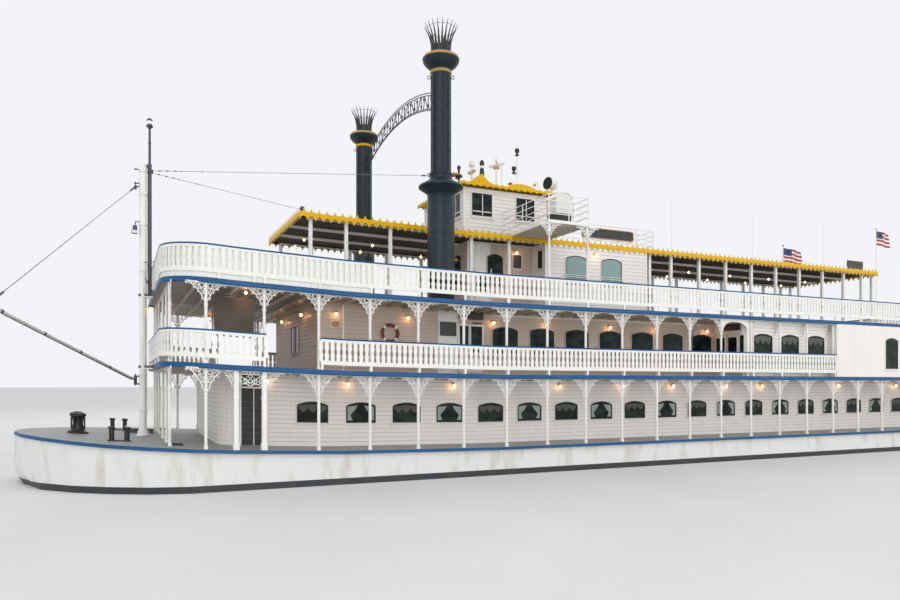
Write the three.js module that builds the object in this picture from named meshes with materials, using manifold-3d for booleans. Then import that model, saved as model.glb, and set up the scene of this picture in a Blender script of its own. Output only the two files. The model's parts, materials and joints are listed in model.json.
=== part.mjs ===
// Sternwheel paddle boat, a 1:2 scale model, in millimetres, +Z up.
// Every length below is the real boat's, in metres, and MODEL_MM turns it into the model's millimetres.
// A station is the distance aft of the fronts of the upper decks. +X is aft and port is -Y.
// The origin is on the flat bottom of the hull, on the centreline.

import * as THREE from 'three';
import { mergeVertices } from 'three/addons/utils/BufferGeometryUtils.js';
import Module from 'manifold-3d';

const wasm = await Module();
wasm.setup();

// Driving dimensions
const MODEL_MM = 500;
const ORIGIN_STATION = 20;
const GAP = 0.0006;

const mainDeck = 2.6;
const deckSpacing = 2.78;
const secondDeck = mainDeck + deckSpacing;
const thirdDeck = secondDeck + deckSpacing;
const deckThickness = 0.13;
const deckHalfWidth = 6.1;
const deckCornerRadius = 1.7;
const deckAft = 43.5;
const transom = 45.3;

const bay = 1.86;
const firstPost = 1.34;
const postWidth = 0.1;
const bracketWidth = 0.45;
const bracketHeight = 0.53;
const arcadeBeam = 0.07;
const arcadeInset = 0.12;

const railTop = 1.12;
const railFoot = 0.19;
const railThickness = 0.05;
const railFootWidth = 0.08;

const wallThickness = 0.12;
const canopyTop = 11.48;
const canopyRoof = 11.46;
const canopyCeiling = 11.38;
const valanceFoot = 11.23;
const canopyHalfWidth = 3.04;

const wheelStation = 49.6;
const wheelHeight = 4.5;
const wheelRadius = 3.65;
const wheelHalfWidth = 3.65;

const chimneyStation = 10.2;
const chimneySide = 4.8;
const chimneySides = 12;

const mastStation = -0.35;
const mastRadius = 0.15;

// Sheer: the decks rise towards the bow, in straight runs between these stations
const sheerStations = [-4.6, -1.6, 2.2, 6.0, 12.0];
const sheerSteepness = 0.0027;
const sheerFoot = 1.5;
const sheerFull = 2.4;
const sheerFade = 9.4;
const sheerNone = 11.2;

function sheerAtBreak(station) {
  const last = sheerStations[sheerStations.length - 1];
  return sheerSteepness * Math.max(0, last - station) ** 2;
}

function sheer(station) {
  const clamped = Math.max(station, sheerStations[0]);
  for (let i = 1; i < sheerStations.length; i += 1) {
    const [low, high] = [sheerStations[i - 1], sheerStations[i]];
    if (clamped <= high) {
      const share = (clamped - low) / (high - low);
      return sheerAtBreak(low) * (1 - share) + sheerAtBreak(high) * share;
    }
  }
  return 0;
}

function sheerShare(height) {
  const rising = (height - sheerFoot) / (sheerFull - sheerFoot);
  const falling = (sheerNone - height) / (sheerNone - sheerFade);
  return Math.min(1, Math.max(0, Math.min(rising, falling)));
}

// Geometry helpers: all take and give real metres
function bare(geometry) {
  const plain = geometry.clone();
  plain.deleteAttribute('normal');
  plain.deleteAttribute('uv');
  return mergeVertices(plain, 1e-6);
}

function toSolid(geometry) {
  const merged = bare(geometry);
  const mesh = new wasm.Mesh({
    numProp: 3,
    vertProperties: Float32Array.from(merged.attributes.position.array),
    triVerts: Uint32Array.from(merged.index.array),
  });
  return new wasm.Manifold(mesh);
}

function toGeometry(solid) {
  const mesh = solid.getMesh();
  const geometry = new THREE.BufferGeometry();
  geometry.setAttribute('position', new THREE.BufferAttribute(Float32Array.from(mesh.vertProperties), 3));
  geometry.setIndex(new THREE.BufferAttribute(Uint32Array.from(mesh.triVerts), 1));
  return geometry;
}

function fuse(...pieces) {
  return toGeometry(pieces.map(toSolid).reduce((whole, piece) => whole.add(piece)));
}

function cut(body, ...tools) {
  return toGeometry(tools.map(toSolid).reduce((rest, tool) => rest.subtract(tool), toSolid(body)));
}

function box([x0, x1], [y0, y1], [z0, z1]) {
  const geometry = new THREE.BoxGeometry(x1 - x0, y1 - y0, z1 - z0);
  return geometry.translate((x0 + x1) / 2, (y0 + y1) / 2, (z0 + z1) / 2);
}

function extrude(shape, depth, segments) {
  return new THREE.ExtrudeGeometry(shape, { depth, bevelEnabled: false, curveSegments: segments });
}

// A plan shape of station and side, raised from z0 to z1
function extrudeUp(shape, z0, z1, segments = 5) {
  return extrude(shape, z1 - z0, segments).translate(0, 0, z0);
}

// A side view shape of station and height, from y0 to y1
function extrudeAcross(shape, y0, y1, segments = 3) {
  return extrude(shape, y1 - y0, segments).rotateX(Math.PI / 2).translate(0, y1, 0);
}

// A cross section shape of side and height, from x0 to x1
function extrudeAlong(shape, x0, x1, segments = 3) {
  const turn = new THREE.Matrix4().makeBasis(
    new THREE.Vector3(0, 1, 0),
    new THREE.Vector3(0, 0, 1),
    new THREE.Vector3(1, 0, 0),
  );
  return extrude(shape, x1 - x0, segments).applyMatrix4(turn).translate(x0, 0, 0);
}

// A profile of [radius, height] rows that starts and ends on the axis, turned about a vertical line
function turned(profile, x, y, sides = chimneySides) {
  const points = profile.map(([radius, height]) => new THREE.Vector2(radius, height));
  return new THREE.LatheGeometry(points, sides).rotateX(Math.PI / 2).translate(x, y, 0);
}

function drum(radius, z0, z1, x, y, sides = 8) {
  return turned([[0, z0], [radius, z0], [radius, z1], [0, z1]], x, y, sides);
}

// A round bar between two points of [x, y, z]
function bar(start, end, radius, sides = 8) {
  const from = new THREE.Vector3(...start);
  const run = new THREE.Vector3(...end).sub(from);
  const geometry = new THREE.CylinderGeometry(radius, radius, run.length(), sides);
  const turn = new THREE.Quaternion().setFromUnitVectors(new THREE.Vector3(0, 1, 0), run.clone().normalize());
  return geometry.applyQuaternion(turn).translate(...from.addScaledVector(run, 0.5).toArray());
}

function mirrored(geometry) {
  const copy = geometry.index ? geometry.toNonIndexed() : geometry.clone();
  copy.scale(1, -1, 1);
  const places = copy.attributes.position;
  for (let i = 0; i < places.count; i += 3) {
    const second = [places.getX(i + 1), places.getY(i + 1), places.getZ(i + 1)];
    places.setXYZ(i + 1, places.getX(i + 2), places.getY(i + 2), places.getZ(i + 2));
    places.setXYZ(i + 2, ...second);
  }
  return copy;
}

// Splits triangles at the sheer stations, then lifts every vertex by the sheer there
function crossing(a, b, station) {
  const [low, high] = a[0] < b[0] ? [a, b] : [b, a];
  const share = (station - low[0]) / (high[0] - low[0]);
  return [station, low[1] + (high[1] - low[1]) * share, low[2] + (high[2] - low[2]) * share];
}

function splitTriangle(triangle, station) {
  const sides = triangle.map((point) => Math.sign(Math.round((point[0] - station) * 1e5)));
  if (!sides.includes(1) || !sides.includes(-1)) return [triangle];
  const loneSide = sides.includes(0) ? 1 : -(sides[0] + sides[1] + sides[2]);
  const lone = sides.indexOf(loneSide);
  const [a, b, c] = [0, 1, 2].map((step) => triangle[(lone + step) % 3]);
  const [sideB, sideC] = [sides[(lone + 1) % 3], sides[(lone + 2) % 3]];
  if (sideB === 0) {
    const middle = crossing(a, c, station);
    return [[a, b, middle], [middle, b, c]];
  }
  if (sideC === 0) {
    const middle = crossing(a, b, station);
    return [[a, middle, c], [middle, b, c]];
  }
  const [onB, onC] = [crossing(a, b, station), crossing(a, c, station)];
  return [[a, onB, onC], [onB, b, c], [onB, c, onC]];
}

// The canopy and its posts follow the decks over their whole height
const wholeSheer = () => 1;

function withSheer(geometry, share = sheerShare) {
  const loose = geometry.index ? geometry.toNonIndexed() : geometry;
  const places = loose.attributes.position;
  let triangles = [];
  for (let i = 0; i < places.count; i += 3) {
    triangles.push([0, 1, 2].map((step) => new THREE.Vector3().fromBufferAttribute(places, i + step).toArray()));
  }
  for (const station of sheerStations) {
    triangles = triangles.flatMap((triangle) => splitTriangle(triangle, station));
  }
  const lifted = triangles.flat().flatMap(([x, y, z]) => [x, y, z + sheer(x) * share(z)]);
  const result = new THREE.BufferGeometry();
  result.setAttribute('position', new THREE.Float32BufferAttribute(lifted, 3));
  return result;
}

// Finishes
const paint = (color, roughness = 0.55, metalness = 0) => ({ color, roughness, metalness });
const white = paint(0xe9e6df);
const blue = paint(0x1b5f99);
const yellow = paint(0xf0be10);
const grey = paint(0x8c8c88);
const dark = paint(0x37485a, 0.45, 0.2);
const gold = paint(0xd6ae62, 0.35, 0.6);
const black = paint(0x16181a, 0.4, 0.3);
const red = paint(0xa3231f);
const hullPaint = paint(0x202c38, 0.5);

const group = new THREE.Group();

function add(name, geometry, finish) {
  const shape = bare(geometry);
  shape.translate(-ORIGIN_STATION, 0, 0);
  shape.scale(MODEL_MM, MODEL_MM, MODEL_MM);
  shape.computeVertexNormals();
  const mesh = new THREE.Mesh(shape, new THREE.MeshStandardMaterial(finish));
  mesh.name = name;
  group.add(mesh);
}

// The same piece on both sides, given for port
function addPair(name, geometry, finish) {
  add(`${name}_port`, geometry, finish);
  add(`${name}_starboard`, mirrored(geometry), finish);
}

// Hull: cross sections from bow to stern
// [station, half width of the deck, half width of the bottom, height of the bottom]
const deckOverhang = 0.15;
const deckPlate = 0.12;
const hullSections = [
  [-4.6, 0.6, 0.3, 1.9],
  [-4.3, 1.7, 1.0, 1.55],
  [-3.6, 3.0, 2.0, 1.05],
  [-2.6, 4.2, 3.1, 0.6],
  [-1.6, 5.0, 3.9, 0.3],
  [-0.4, 5.7, 4.7, 0.08],
  [0.9, 6.1, 5.2, 0],
  [2.2, 6.1, 5.5, 0],
  [6.0, 6.1, 5.5, 0],
  [12.0, 6.1, 5.5, 0],
  [38.5, 6.1, 5.5, 0],
  [43.0, 6.1, 5.4, 1.2],
  [45.3, 6.1, 5.4, 1.2],
];
const bilgeRise = 0.45;

function hullRing([station, halfDeck, halfBottom, bottom]) {
  const top = mainDeck - deckPlate - GAP + sheer(station);
  const halfSide = halfDeck - deckOverhang;
  const side = [[halfBottom, bottom], [halfSide, bottom + bilgeRise], [halfSide, top]];
  const other = side.map(([y, z]) => [-y, z]).reverse();
  return [...side, ...other].map(([y, z]) => [station, y, z]);
}

function loft(rings) {
  const size = rings[0].length;
  const index = [];
  for (let ring = 0; ring + 1 < rings.length; ring += 1) {
    for (let i = 0; i < size; i += 1) {
      const [a, b] = [ring * size + i, ring * size + ((i + 1) % size)];
      index.push(a, b, b + size, a, b + size, a + size);
    }
  }
  const last = (rings.length - 1) * size;
  for (let i = 1; i + 1 < size; i += 1) {
    index.push(0, i + 1, i, last, last + i, last + i + 1);
  }
  const geometry = new THREE.BufferGeometry();
  geometry.setAttribute('position', new THREE.Float32BufferAttribute(rings.flat(2), 3));
  geometry.setIndex(index);
  return geometry;
}

add('hull', loft(hullSections.map(hullRing)), hullPaint);

// Decks
function mainDeckShape() {
  const port = hullSections.filter(([station]) => station < 1).map(([station, halfDeck]) => [station, halfDeck]);
  port.push([transom, deckHalfWidth]);
  const outline = [...port, ...port.map(([station, side]) => [station, -side]).reverse()];
  return new THREE.Shape(outline.map(([station, side]) => new THREE.Vector2(station, side)));
}

// The plan of a band that follows a rounded front, such as the upper decks', at an inset from it
function frontBand(inset, thickness, aft, halfWidth = deckHalfWidth, front = 0, radius = deckCornerRadius) {
  const shape = new THREE.Shape();
  const [centre, side] = [front + radius, halfWidth - radius];
  const [outer, inner] = [radius - inset, radius - inset - thickness];
  shape.moveTo(aft, -side - outer);
  shape.lineTo(centre, -side - outer);
  shape.absarc(centre, -side, outer, Math.PI * 1.5, Math.PI, true);
  shape.absarc(centre, side, outer, Math.PI, Math.PI * 0.5, true);
  shape.lineTo(aft, side + outer);
  shape.lineTo(aft, side + inner);
  shape.absarc(centre, side, inner, Math.PI * 0.5, Math.PI, false);
  shape.absarc(centre, -side, inner, Math.PI, Math.PI * 1.5, false);
  shape.lineTo(aft, -side - inner);
  return shape;
}

function upperDeckShape() {
  const shape = new THREE.Shape();
  const side = deckHalfWidth - deckCornerRadius;
  shape.moveTo(deckAft, -deckHalfWidth);
  shape.lineTo(deckCornerRadius, -deckHalfWidth);
  shape.absarc(deckCornerRadius, -side, deckCornerRadius, Math.PI * 1.5, Math.PI, true);
  shape.absarc(deckCornerRadius, side, deckCornerRadius, Math.PI, Math.PI * 0.5, true);
  shape.lineTo(deckAft, deckHalfWidth);
  return shape;
}

add('main_deck', withSheer(extrudeUp(mainDeckShape(), mainDeck - deckPlate, mainDeck)), grey);
add('second_deck', withSheer(extrudeUp(upperDeckShape(), secondDeck - deckThickness, secondDeck)), blue);
add('third_deck', withSheer(extrudeUp(upperDeckShape(), thirdDeck - deckThickness, thirdDeck)), blue);

// The clear height between two decks, with a gap at each end
const between = (floor, ceiling) => [floor + GAP, ceiling - deckThickness - GAP];

// Arcades of slender posts with arched brackets under each upper deck
function arcadeShape(posts, [floor, ceiling], width = postWidth, bracket = [bracketWidth, bracketHeight]) {
  const half = width / 2;
  const crown = ceiling - arcadeBeam;
  const shape = new THREE.Shape();
  shape.moveTo(posts[0] - half, ceiling);
  shape.lineTo(posts[0] - half, floor);
  for (let i = 0; i + 1 < posts.length; i += 1) {
    const [left, right] = [posts[i] + half, posts[i + 1] - half];
    shape.lineTo(left, floor);
    if (bracket) {
      const [out, down] = bracket;
      shape.lineTo(left, crown - down);
      shape.quadraticCurveTo(left + out * 0.15, crown - down * 0.15, left + out, crown);
      shape.lineTo(right - out, crown);
      shape.quadraticCurveTo(right - out * 0.15, crown - down * 0.15, right, crown - down);
    } else {
      shape.lineTo(left, crown);
      shape.lineTo(right, crown);
    }
    shape.lineTo(right, floor);
  }
  const last = posts[posts.length - 1] + half;
  shape.lineTo(last, floor);
  shape.lineTo(last, ceiling);
  return shape;
}

const postStations = (count) => Array.from({ length: count }, (_, i) => firstPost + bay * i);
const arcadeOuter = -deckHalfWidth + arcadeInset;
const arcadeInner = arcadeOuter + postWidth;
const frontArcadeStation = 0.25;
const frontPostSides = [-5.05, -3.4, -1.3, 1.3, 3.4, 5.05];

// [deck name, floor, deck above, number of posts on each side]
const arcades = [
  ['main', mainDeck, secondDeck, 23],
  ['second', secondDeck, thirdDeck, 17],
];
for (const [deck, floor, above, posts] of arcades) {
  const side = arcadeShape(postStations(posts), between(floor, above));
  addPair(`${deck}_arcade`, withSheer(extrudeAcross(side, arcadeOuter, arcadeInner, 2)), white);
  const front = arcadeShape(frontPostSides, between(floor, above));
  const frontAft = frontArcadeStation + postWidth;
  add(`${deck}_arcade_front`, withSheer(extrudeAlong(front, frontArcadeStation, frontAft, 2)), white);
}

// Rails: a balustrade panel that stands on feet
function railShape(start, end, feet, deck) {
  const half = railFootWidth / 2;
  const [floor, foot, top] = [deck + GAP, deck + railFoot, deck + railTop];
  const shape = new THREE.Shape();
  shape.moveTo(start, top);
  shape.lineTo(start, foot);
  for (const station of feet) {
    shape.lineTo(station - half, foot);
    shape.lineTo(station - half, floor);
    shape.lineTo(station + half, floor);
    shape.lineTo(station + half, foot);
  }
  shape.lineTo(end, foot);
  shape.lineTo(end, top);
  return shape;
}

const boardingOpening = [3.24, 5.1];
const secondRailAft = 31.15;
const thirdRailBreak = 2.9;
const railAft = deckAft - 0.06;
const railInset = 0.01;
const railOuter = -deckHalfWidth + railInset;

function sideRail(start, end, deck) {
  const feet = [];
  for (let station = start + railFootWidth; station < end - railFootWidth; station += 2 * bay) feet.push(station);
  return withSheer(extrudeAcross(railShape(start, end, feet, deck), railOuter, railOuter + railThickness));
}

function frontRail(aft, deck) {
  const panel = extrudeUp(frontBand(railInset, railThickness, aft), deck + railFoot, deck + railTop, 6);
  const footHeight = [deck + GAP, deck + railFoot + 0.01];
  const sides = [-1, 1].map((side) => {
    const [low, high] = [side * railOuter, side * (railOuter + railThickness)].sort((a, b) => a - b);
    return box([aft - railFootWidth, aft], [low, high], footHeight);
  });
  const feet = [-3.6, -1.2, 1.2, 3.6].map((side) => (
    box([railInset, railInset + railThickness], [side - railFootWidth / 2, side + railFootWidth / 2], footHeight)));
  return withSheer(fuse(panel, ...sides, ...feet));
}

add('second_rail_front', frontRail(boardingOpening[0], secondDeck), white);
addPair('second_rail', sideRail(boardingOpening[1], secondRailAft, secondDeck), white);
add('third_rail_front', frontRail(thirdRailBreak, thirdDeck), white);
addPair('third_rail', sideRail(thirdRailBreak + GAP, railAft, thirdDeck), white);
const aftRailFeet = [-4.8, -2.4, 0, 2.4, 4.8];
const aftRail = railShape(-deckHalfWidth, deckHalfWidth, aftRailFeet, thirdDeck);
add('third_rail_aft', extrudeAlong(aftRail, railAft + GAP, railAft + GAP + railThickness), white);

// Cabin walls: a plan path of right angles, given a thickness
function wallShape(path) {
  const half = wallThickness / 2;
  const normals = path.slice(1).map(([x, y], i) => {
    const [dx, dy] = [x - path[i][0], y - path[i][1]];
    const length = Math.hypot(dx, dy);
    return [(-dy / length) * half, (dx / length) * half];
  });
  const edge = (sign) => path.map(([x, y], i) => {
    const before = normals[Math.max(i - 1, 0)];
    const after = normals[Math.min(i, normals.length - 1)];
    const [cornerX, cornerY] = before === after ? [0, 0] : after;
    return new THREE.Vector2(x + sign * (before[0] + cornerX), y + sign * (before[1] + cornerY));
  });
  return new THREE.Shape([...edge(1), ...edge(-1).reverse()]);
}

function wall(path, [floor, ceiling]) {
  return extrudeUp(wallShape(path), floor, ceiling);
}

// Hinged doors: local +X runs from the hinge across the leaf and -Y is the side that it opens to
const doorThickness = 0.06;
const doorHeight = 2.0;
const doorClearance = 0.014;
const hingeRadius = 0.02;
const hingeInset = 0.006;
const hingeHeights = [0.35, 1.6];
const knuckleLength = 0.1;
const hingePlate = 0.08;
const plateDepth = 0.03;

function doorLeaf(width) {
  const slab = box([doorClearance - 0.002, width], [hingeRadius, hingeRadius + doorThickness],
    [doorClearance, doorHeight]);
  const knuckles = hingeHeights.map((z) => drum(hingeRadius, z + GAP, z + knuckleLength, 0, 0));
  const plates = hingeHeights.map((z) => box([0, hingePlate], [0, plateDepth], [z + GAP, z + knuckleLength]));
  return fuse(slab, ...plates, ...knuckles);
}

function wallHinge() {
  const knuckles = hingeHeights.map((z) => drum(hingeRadius, z - knuckleLength, z, 0, 0));
  const plates = hingeHeights.map((z) => box([-hingePlate, 0], [0, plateDepth], [z - knuckleLength, z]));
  return knuckles.map((knuckle, i) => fuse(knuckle, plates[i]));
}

function doorway(width) {
  return box([-hingeInset, width + doorClearance], [0, 0.3], [-0.1, doorHeight + doorClearance]);
}

// Main deck cabin
const mainWallSide = 4.16;
const mainWallFront = 2.0;
const mainCornerRadius = 0.9;
const mainWallJoint = mainWallFront + mainCornerRadius + 0.05;
const mainWallAft = 40.5;
const mainWallSpan = between(mainDeck, secondDeck);
const mainFrontPlan = frontBand(0, wallThickness, mainWallJoint, mainWallSide, mainWallFront, mainCornerRadius);
add('main_wall_front', withSheer(extrudeUp(mainFrontPlan, ...mainWallSpan, 4)), white);
const mainSideWall = box([mainWallJoint + GAP, mainWallAft], [-mainWallSide, -mainWallSide + wallThickness],
  mainWallSpan);
addPair('main_wall', withSheer(mainSideWall), white);
add('main_wall_aft', box([mainWallAft + GAP, mainWallAft + GAP + wallThickness],
  [-mainWallSide, mainWallSide], mainWallSpan), white);

const engineSpan = [36, 39.4];
const engineHalfWidth = 1.2;
const engineTop = 4.0;
add('engine_block', box(engineSpan, [-engineHalfWidth, engineHalfWidth], [mainDeck + GAP, engineTop]), grey);

// Second deck cabin: set back along the gallery, with double doors in the wall that ends it
const secondWallFront = 5.6;
const gallerySide = 3.9;
const galleryEnd = 25.3;
const loungeSide = 5.6;
const loungeEnd = 31.25;
const flushSide = 6.02;
const secondWallAft = 43.3;
const secondWallSpan = between(secondDeck, thirdDeck);
const secondPlan = [
  [secondWallFront + wallThickness + GAP, -gallerySide],
  [galleryEnd, -gallerySide],
  [galleryEnd, -loungeSide],
  [loungeEnd, -loungeSide],
  [loungeEnd, -flushSide],
  [secondWallAft, -flushSide],
];
const doubleLeaf = 0.7;
const doubleDoorInner = -4.03;
const doubleDoorOuter = -5.47;
const doubleDoorMiddle = doubleDoorInner + doubleDoorOuter;
const doubleDoorFace = galleryEnd - wallThickness / 2;

function atInnerHinge(geometry) {
  const place = [doubleDoorFace - hingeRadius, doubleDoorInner - hingeInset, secondDeck];
  return geometry.clone().rotateZ(-Math.PI / 2).translate(...place);
}

const atOuterHinge = (geometry) => mirrored(atInnerHinge(geometry)).translate(0, doubleDoorMiddle, 0);
const doublePlaces = [atInnerHinge, atOuterHinge];
let secondWall = wall(secondPlan, secondWallSpan);
secondWall = cut(secondWall, ...doublePlaces.map((place) => place(doorway(doubleLeaf))));
secondWall = fuse(secondWall, ...doublePlaces.flatMap((place) => wallHinge().map(place)));
add('second_wall_front', withSheer(box([secondWallFront, secondWallFront + wallThickness],
  [-gallerySide - wallThickness / 2, gallerySide + wallThickness / 2], secondWallSpan)), white);
addPair('second_wall', withSheer(secondWall), white);
add('second_wall_aft', box([secondWallAft + GAP, secondWallAft + GAP + wallThickness],
  [-flushSide - wallThickness / 2, flushSide + wallThickness / 2], secondWallSpan), white);
addPair('gallery_door_inner', atInnerHinge(doorLeaf(doubleLeaf)), white);
addPair('gallery_door_outer', atOuterHinge(doorLeaf(doubleLeaf)), white);

// Third deck cabin: a narrow fore part with a door on each side, and a wider aft part
const texasFront = 12.8;
const texasStep = 16.2;
const texasNarrow = 1.8;
const texasWide = 2.93;
const texasAft = 21.74;
const texasSpan = [thirdDeck + GAP, canopyCeiling - GAP];
const texasDoorStation = 13.1;
const texasLeaf = 0.78;
const canopyPostWidth = 0.13;
const canopyPostSide = 2.78;
const texasPlan = [
  [texasFront + wallThickness + GAP, -texasNarrow],
  [texasStep, -texasNarrow],
  [texasStep, -texasWide],
  [texasAft, -texasWide],
];

function beamNotch(side) {
  const reach = canopyPostWidth / 2 + GAP;
  return box([texasStep - 1, texasAft + 1], [side - reach, side + reach],
    [texasSpan[1] - arcadeBeam - GAP, texasSpan[1] + 0.1]);
}

const texasDoorPlace = [texasDoorStation + hingeInset, -texasNarrow - wallThickness / 2 - hingeRadius, thirdDeck];
const atTexasHinge = (geometry) => geometry.clone().translate(...texasDoorPlace);
const texasSide = cut(wall(texasPlan, texasSpan), atTexasHinge(doorway(texasLeaf)), beamNotch(-canopyPostSide));
const texasAftWall = box([texasAft + GAP, texasAft + GAP + wallThickness],
  [-texasWide - wallThickness / 2, texasWide + wallThickness / 2], texasSpan);
add('texas_wall_front', box([texasFront, texasFront + wallThickness],
  [-texasNarrow - wallThickness / 2, texasNarrow + wallThickness / 2], texasSpan), white);
addPair('texas_wall', fuse(texasSide, ...wallHinge().map(atTexasHinge)), white);
add('texas_wall_aft', cut(texasAftWall, beamNotch(-canopyPostSide), beamNotch(canopyPostSide)), white);
addPair('texas_door', atTexasHinge(doorLeaf(texasLeaf)), white);

// Canopy over the third deck, with its valance
const canopySpan = [5.07, 38.75];
const valanceThickness = 0.04;

function canopyBox(inset, heights) {
  const side = canopyHalfWidth - inset;
  return box([canopySpan[0] + inset, canopySpan[1] - inset], [-side, side], heights);
}

const canopy = cut(
  canopyBox(0, [valanceFoot, canopyTop]),
  canopyBox(valanceThickness, [valanceFoot - 1, canopyCeiling]),
  canopyBox(valanceThickness, [canopyRoof, canopyTop + 1]),
);
add('canopy', withSheer(canopy, wholeSheer), yellow);

const canopyPosts = [5.55, 6.98, 8.84, 10.68, 12.52, 14.38, 22.2, 23.54, 25.36, 27.16, 28.97, 30.76, 32.55, 34.38,
  36.12, 37.65, 38.55];
const canopyArcade = arcadeShape(canopyPosts, texasSpan, canopyPostWidth, null);
addPair('canopy_posts', withSheer(extrudeAcross(canopyArcade, -canopyPostSide - canopyPostWidth / 2,
  -canopyPostSide + canopyPostWidth / 2), wholeSheer), white);

// Pilothouse on the canopy's roof
const pilotSpan = [12.5, 17.0];
const pilotSide = 2.15;
const pilotWall = 0.1;
const pilotEave = 13.68;
const pilotPeak = 14.25;
const pilotWindow = 1.0;
const pilotSill = 12.44;
const pilotBays = [13.36, 15.6];
const pilotFrontWindows = [-1.35, 0, 1.35];
const pilotAftWindows = [-1.3, 1.3];

function pilotWalls() {
  const heights = [canopyRoof + GAP, pilotEave - GAP];
  const inner = pilotSide - pilotWall;
  const shell = cut(
    box(pilotSpan, [-pilotSide, pilotSide], heights),
    box([pilotSpan[0] + pilotWall, pilotSpan[1] - pilotWall], [-inner, inner], [heights[0] - 1, heights[1] + 1]),
  );
  const sill = [pilotSill, pilotSill + pilotWindow];
  const across = (middle) => [middle - pilotWindow / 2, middle + pilotWindow / 2];
  return cut(
    shell,
    ...pilotBays.map((station) => box(across(station), [-pilotSide - 1, pilotSide + 1], sill)),
    ...pilotFrontWindows.map((side) => box([pilotSpan[0] - 1, pilotSpan[0] + 1], across(side), sill)),
    ...pilotAftWindows.map((side) => box([pilotSpan[1] - 1, pilotSpan[1] + 1], across(side), sill)),
  );
}

add('pilothouse_walls', pilotWalls(), white);

const eaveOverhang = 0.3;
const eaveEdge = 0.15;
const peakStation = 13.23;
const peakReach = 0.72;
const humpSpan = [14.5, 16.05];
const humpRise = 0.2;

function pilotRoof() {
  const [start, end] = [pilotSpan[0] - eaveOverhang, pilotSpan[1] + eaveOverhang];
  const valley = pilotEave + eaveEdge;
  const shape = new THREE.Shape();
  shape.moveTo(end, pilotEave);
  shape.lineTo(start, pilotEave);
  shape.lineTo(start, valley);
  shape.lineTo(peakStation - peakReach, valley);
  shape.quadraticCurveTo(peakStation - peakReach * 0.3, valley + 0.04, peakStation, pilotPeak);
  shape.quadraticCurveTo(peakStation + peakReach * 0.3, valley + 0.04, peakStation + peakReach, valley);
  shape.lineTo(humpSpan[0], valley);
  shape.bezierCurveTo(humpSpan[0] + 0.25, valley + humpRise * 1.3, humpSpan[1] - 0.5, valley + humpRise * 1.3,
    humpSpan[1], valley);
  shape.lineTo(end, valley);
  return extrudeAcross(shape, -pilotSide - eaveOverhang, pilotSide + eaveOverhang, 4);
}

add('pilothouse_roof', pilotRoof(), yellow);

// Bridge wings: a railed platform on posts from the third deck, with a control box at its end
const wingSpan = [14.4, 16.35];
const wingOuter = -5.98;
const wingInner = -pilotSide - GAP;
const wingHeights = [11.5, 11.6];
const wingPost = 0.1;
const wingBar = 0.04;
const wingRailHeights = [0.55, 1.07];
const wingStanchions = [-5.98, -4.1, -2.2];
const controlSpan = [14.98, 15.76];
const controlSides = [-5.62, -4.9];
const controlHeight = 1.3;
const gableRise = 0.25;

function controlBox() {
  const floor = wingHeights[1] - 0.02;
  const eave = wingHeights[1] + controlHeight - gableRise;
  const middle = (controlSpan[0] + controlSpan[1]) / 2;
  const outline = [
    [controlSpan[0], floor],
    [controlSpan[1], floor],
    [controlSpan[1], eave],
    [middle, eave + gableRise],
    [controlSpan[0], eave],
  ];
  const shape = new THREE.Shape(outline.map(([station, height]) => new THREE.Vector2(station, height)));
  return extrudeAcross(shape, ...controlSides);
}

function wingRailing() {
  const deck = wingHeights[1];
  const edges = [[wingSpan[0], wingSpan[0] + wingBar], [wingSpan[1] - wingBar, wingSpan[1]]];
  const pieces = edges.flatMap((edge) => [
    ...wingRailHeights.map((height) => box(edge, [wingOuter, wingInner - 0.02],
      [deck + height - wingBar, deck + height])),
    ...wingStanchions.map((side) => box(edge, [side, side + wingBar], [deck - 0.02, deck + wingRailHeights[1]])),
  ]);
  const outboard = wingRailHeights.map((height) => box(wingSpan, [wingOuter, wingOuter + wingBar],
    [deck + height - wingBar, deck + height]));
  return [...pieces, ...outboard];
}

function bridgeWing() {
  const platform = box(wingSpan, [wingOuter, wingInner], wingHeights);
  const posts = [wingSpan[0], wingSpan[1] - wingPost].map((station) => box([station, station + wingPost],
    [wingOuter, wingOuter + wingPost], [thirdDeck + GAP, wingHeights[0] + 0.02]));
  return fuse(platform, ...posts, controlBox(), ...wingRailing());
}

addPair('bridge_wing', bridgeWing(), white);

// Chimneys, each with a flange, a gilded trumpet and a black crown of fingers
// [radius, height above the third deck]
const chimneyProfile = [
  [0, GAP], [0.535, GAP], [0.535, 4.24], [0.875, 4.5], [0.875, 4.58], [0.43, 4.86], [0.378, 4.9], [0.378, 8.95],
  [0.435, 8.98], [0.435, 9.12], [0.39, 9.15], [0.42, 9.3], [0.73, 9.55], [0.73, 9.66], [0.45, 9.86],
  [0.41, 10.05], [0, 10.05],
];
const chimneyTube = 0.378;
const crownFoot = 10.05;
const crownBase = [[0, GAP], [0.41, GAP], [0.43, 0.25], [0, 0.25]];
// One finger of the crown: [radius, height above the crown's foot]
const crownFinger = [[0.36, 0.2], [0.42, 0.2], [0.53, 0.65], [0.675, 1.1], [0.4, 0.6]];
const fingerCount = 24;
const fingerWidth = 0.06;

const aboveThirdDeck = (profile, foot = 0) => profile.map(([radius, height]) => [radius, thirdDeck + foot + height]);

function crown() {
  const shape = new THREE.Shape(crownFinger.map(([radius, height]) => new THREE.Vector2(radius, height)));
  const fingers = Array.from({ length: fingerCount }, (_, i) => (
    extrudeAcross(shape, -fingerWidth / 2, fingerWidth / 2)
      .rotateZ((i * Math.PI * 2) / fingerCount)
      .translate(chimneyStation, -chimneySide, thirdDeck + crownFoot)));
  return fuse(turned(aboveThirdDeck(crownBase, crownFoot), chimneyStation, -chimneySide), ...fingers);
}

const chimney = turned(aboveThirdDeck(chimneyProfile), chimneyStation, -chimneySide);
addPair('chimney', withSheer(chimney), dark);
addPair('crown', crown(), black);

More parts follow.
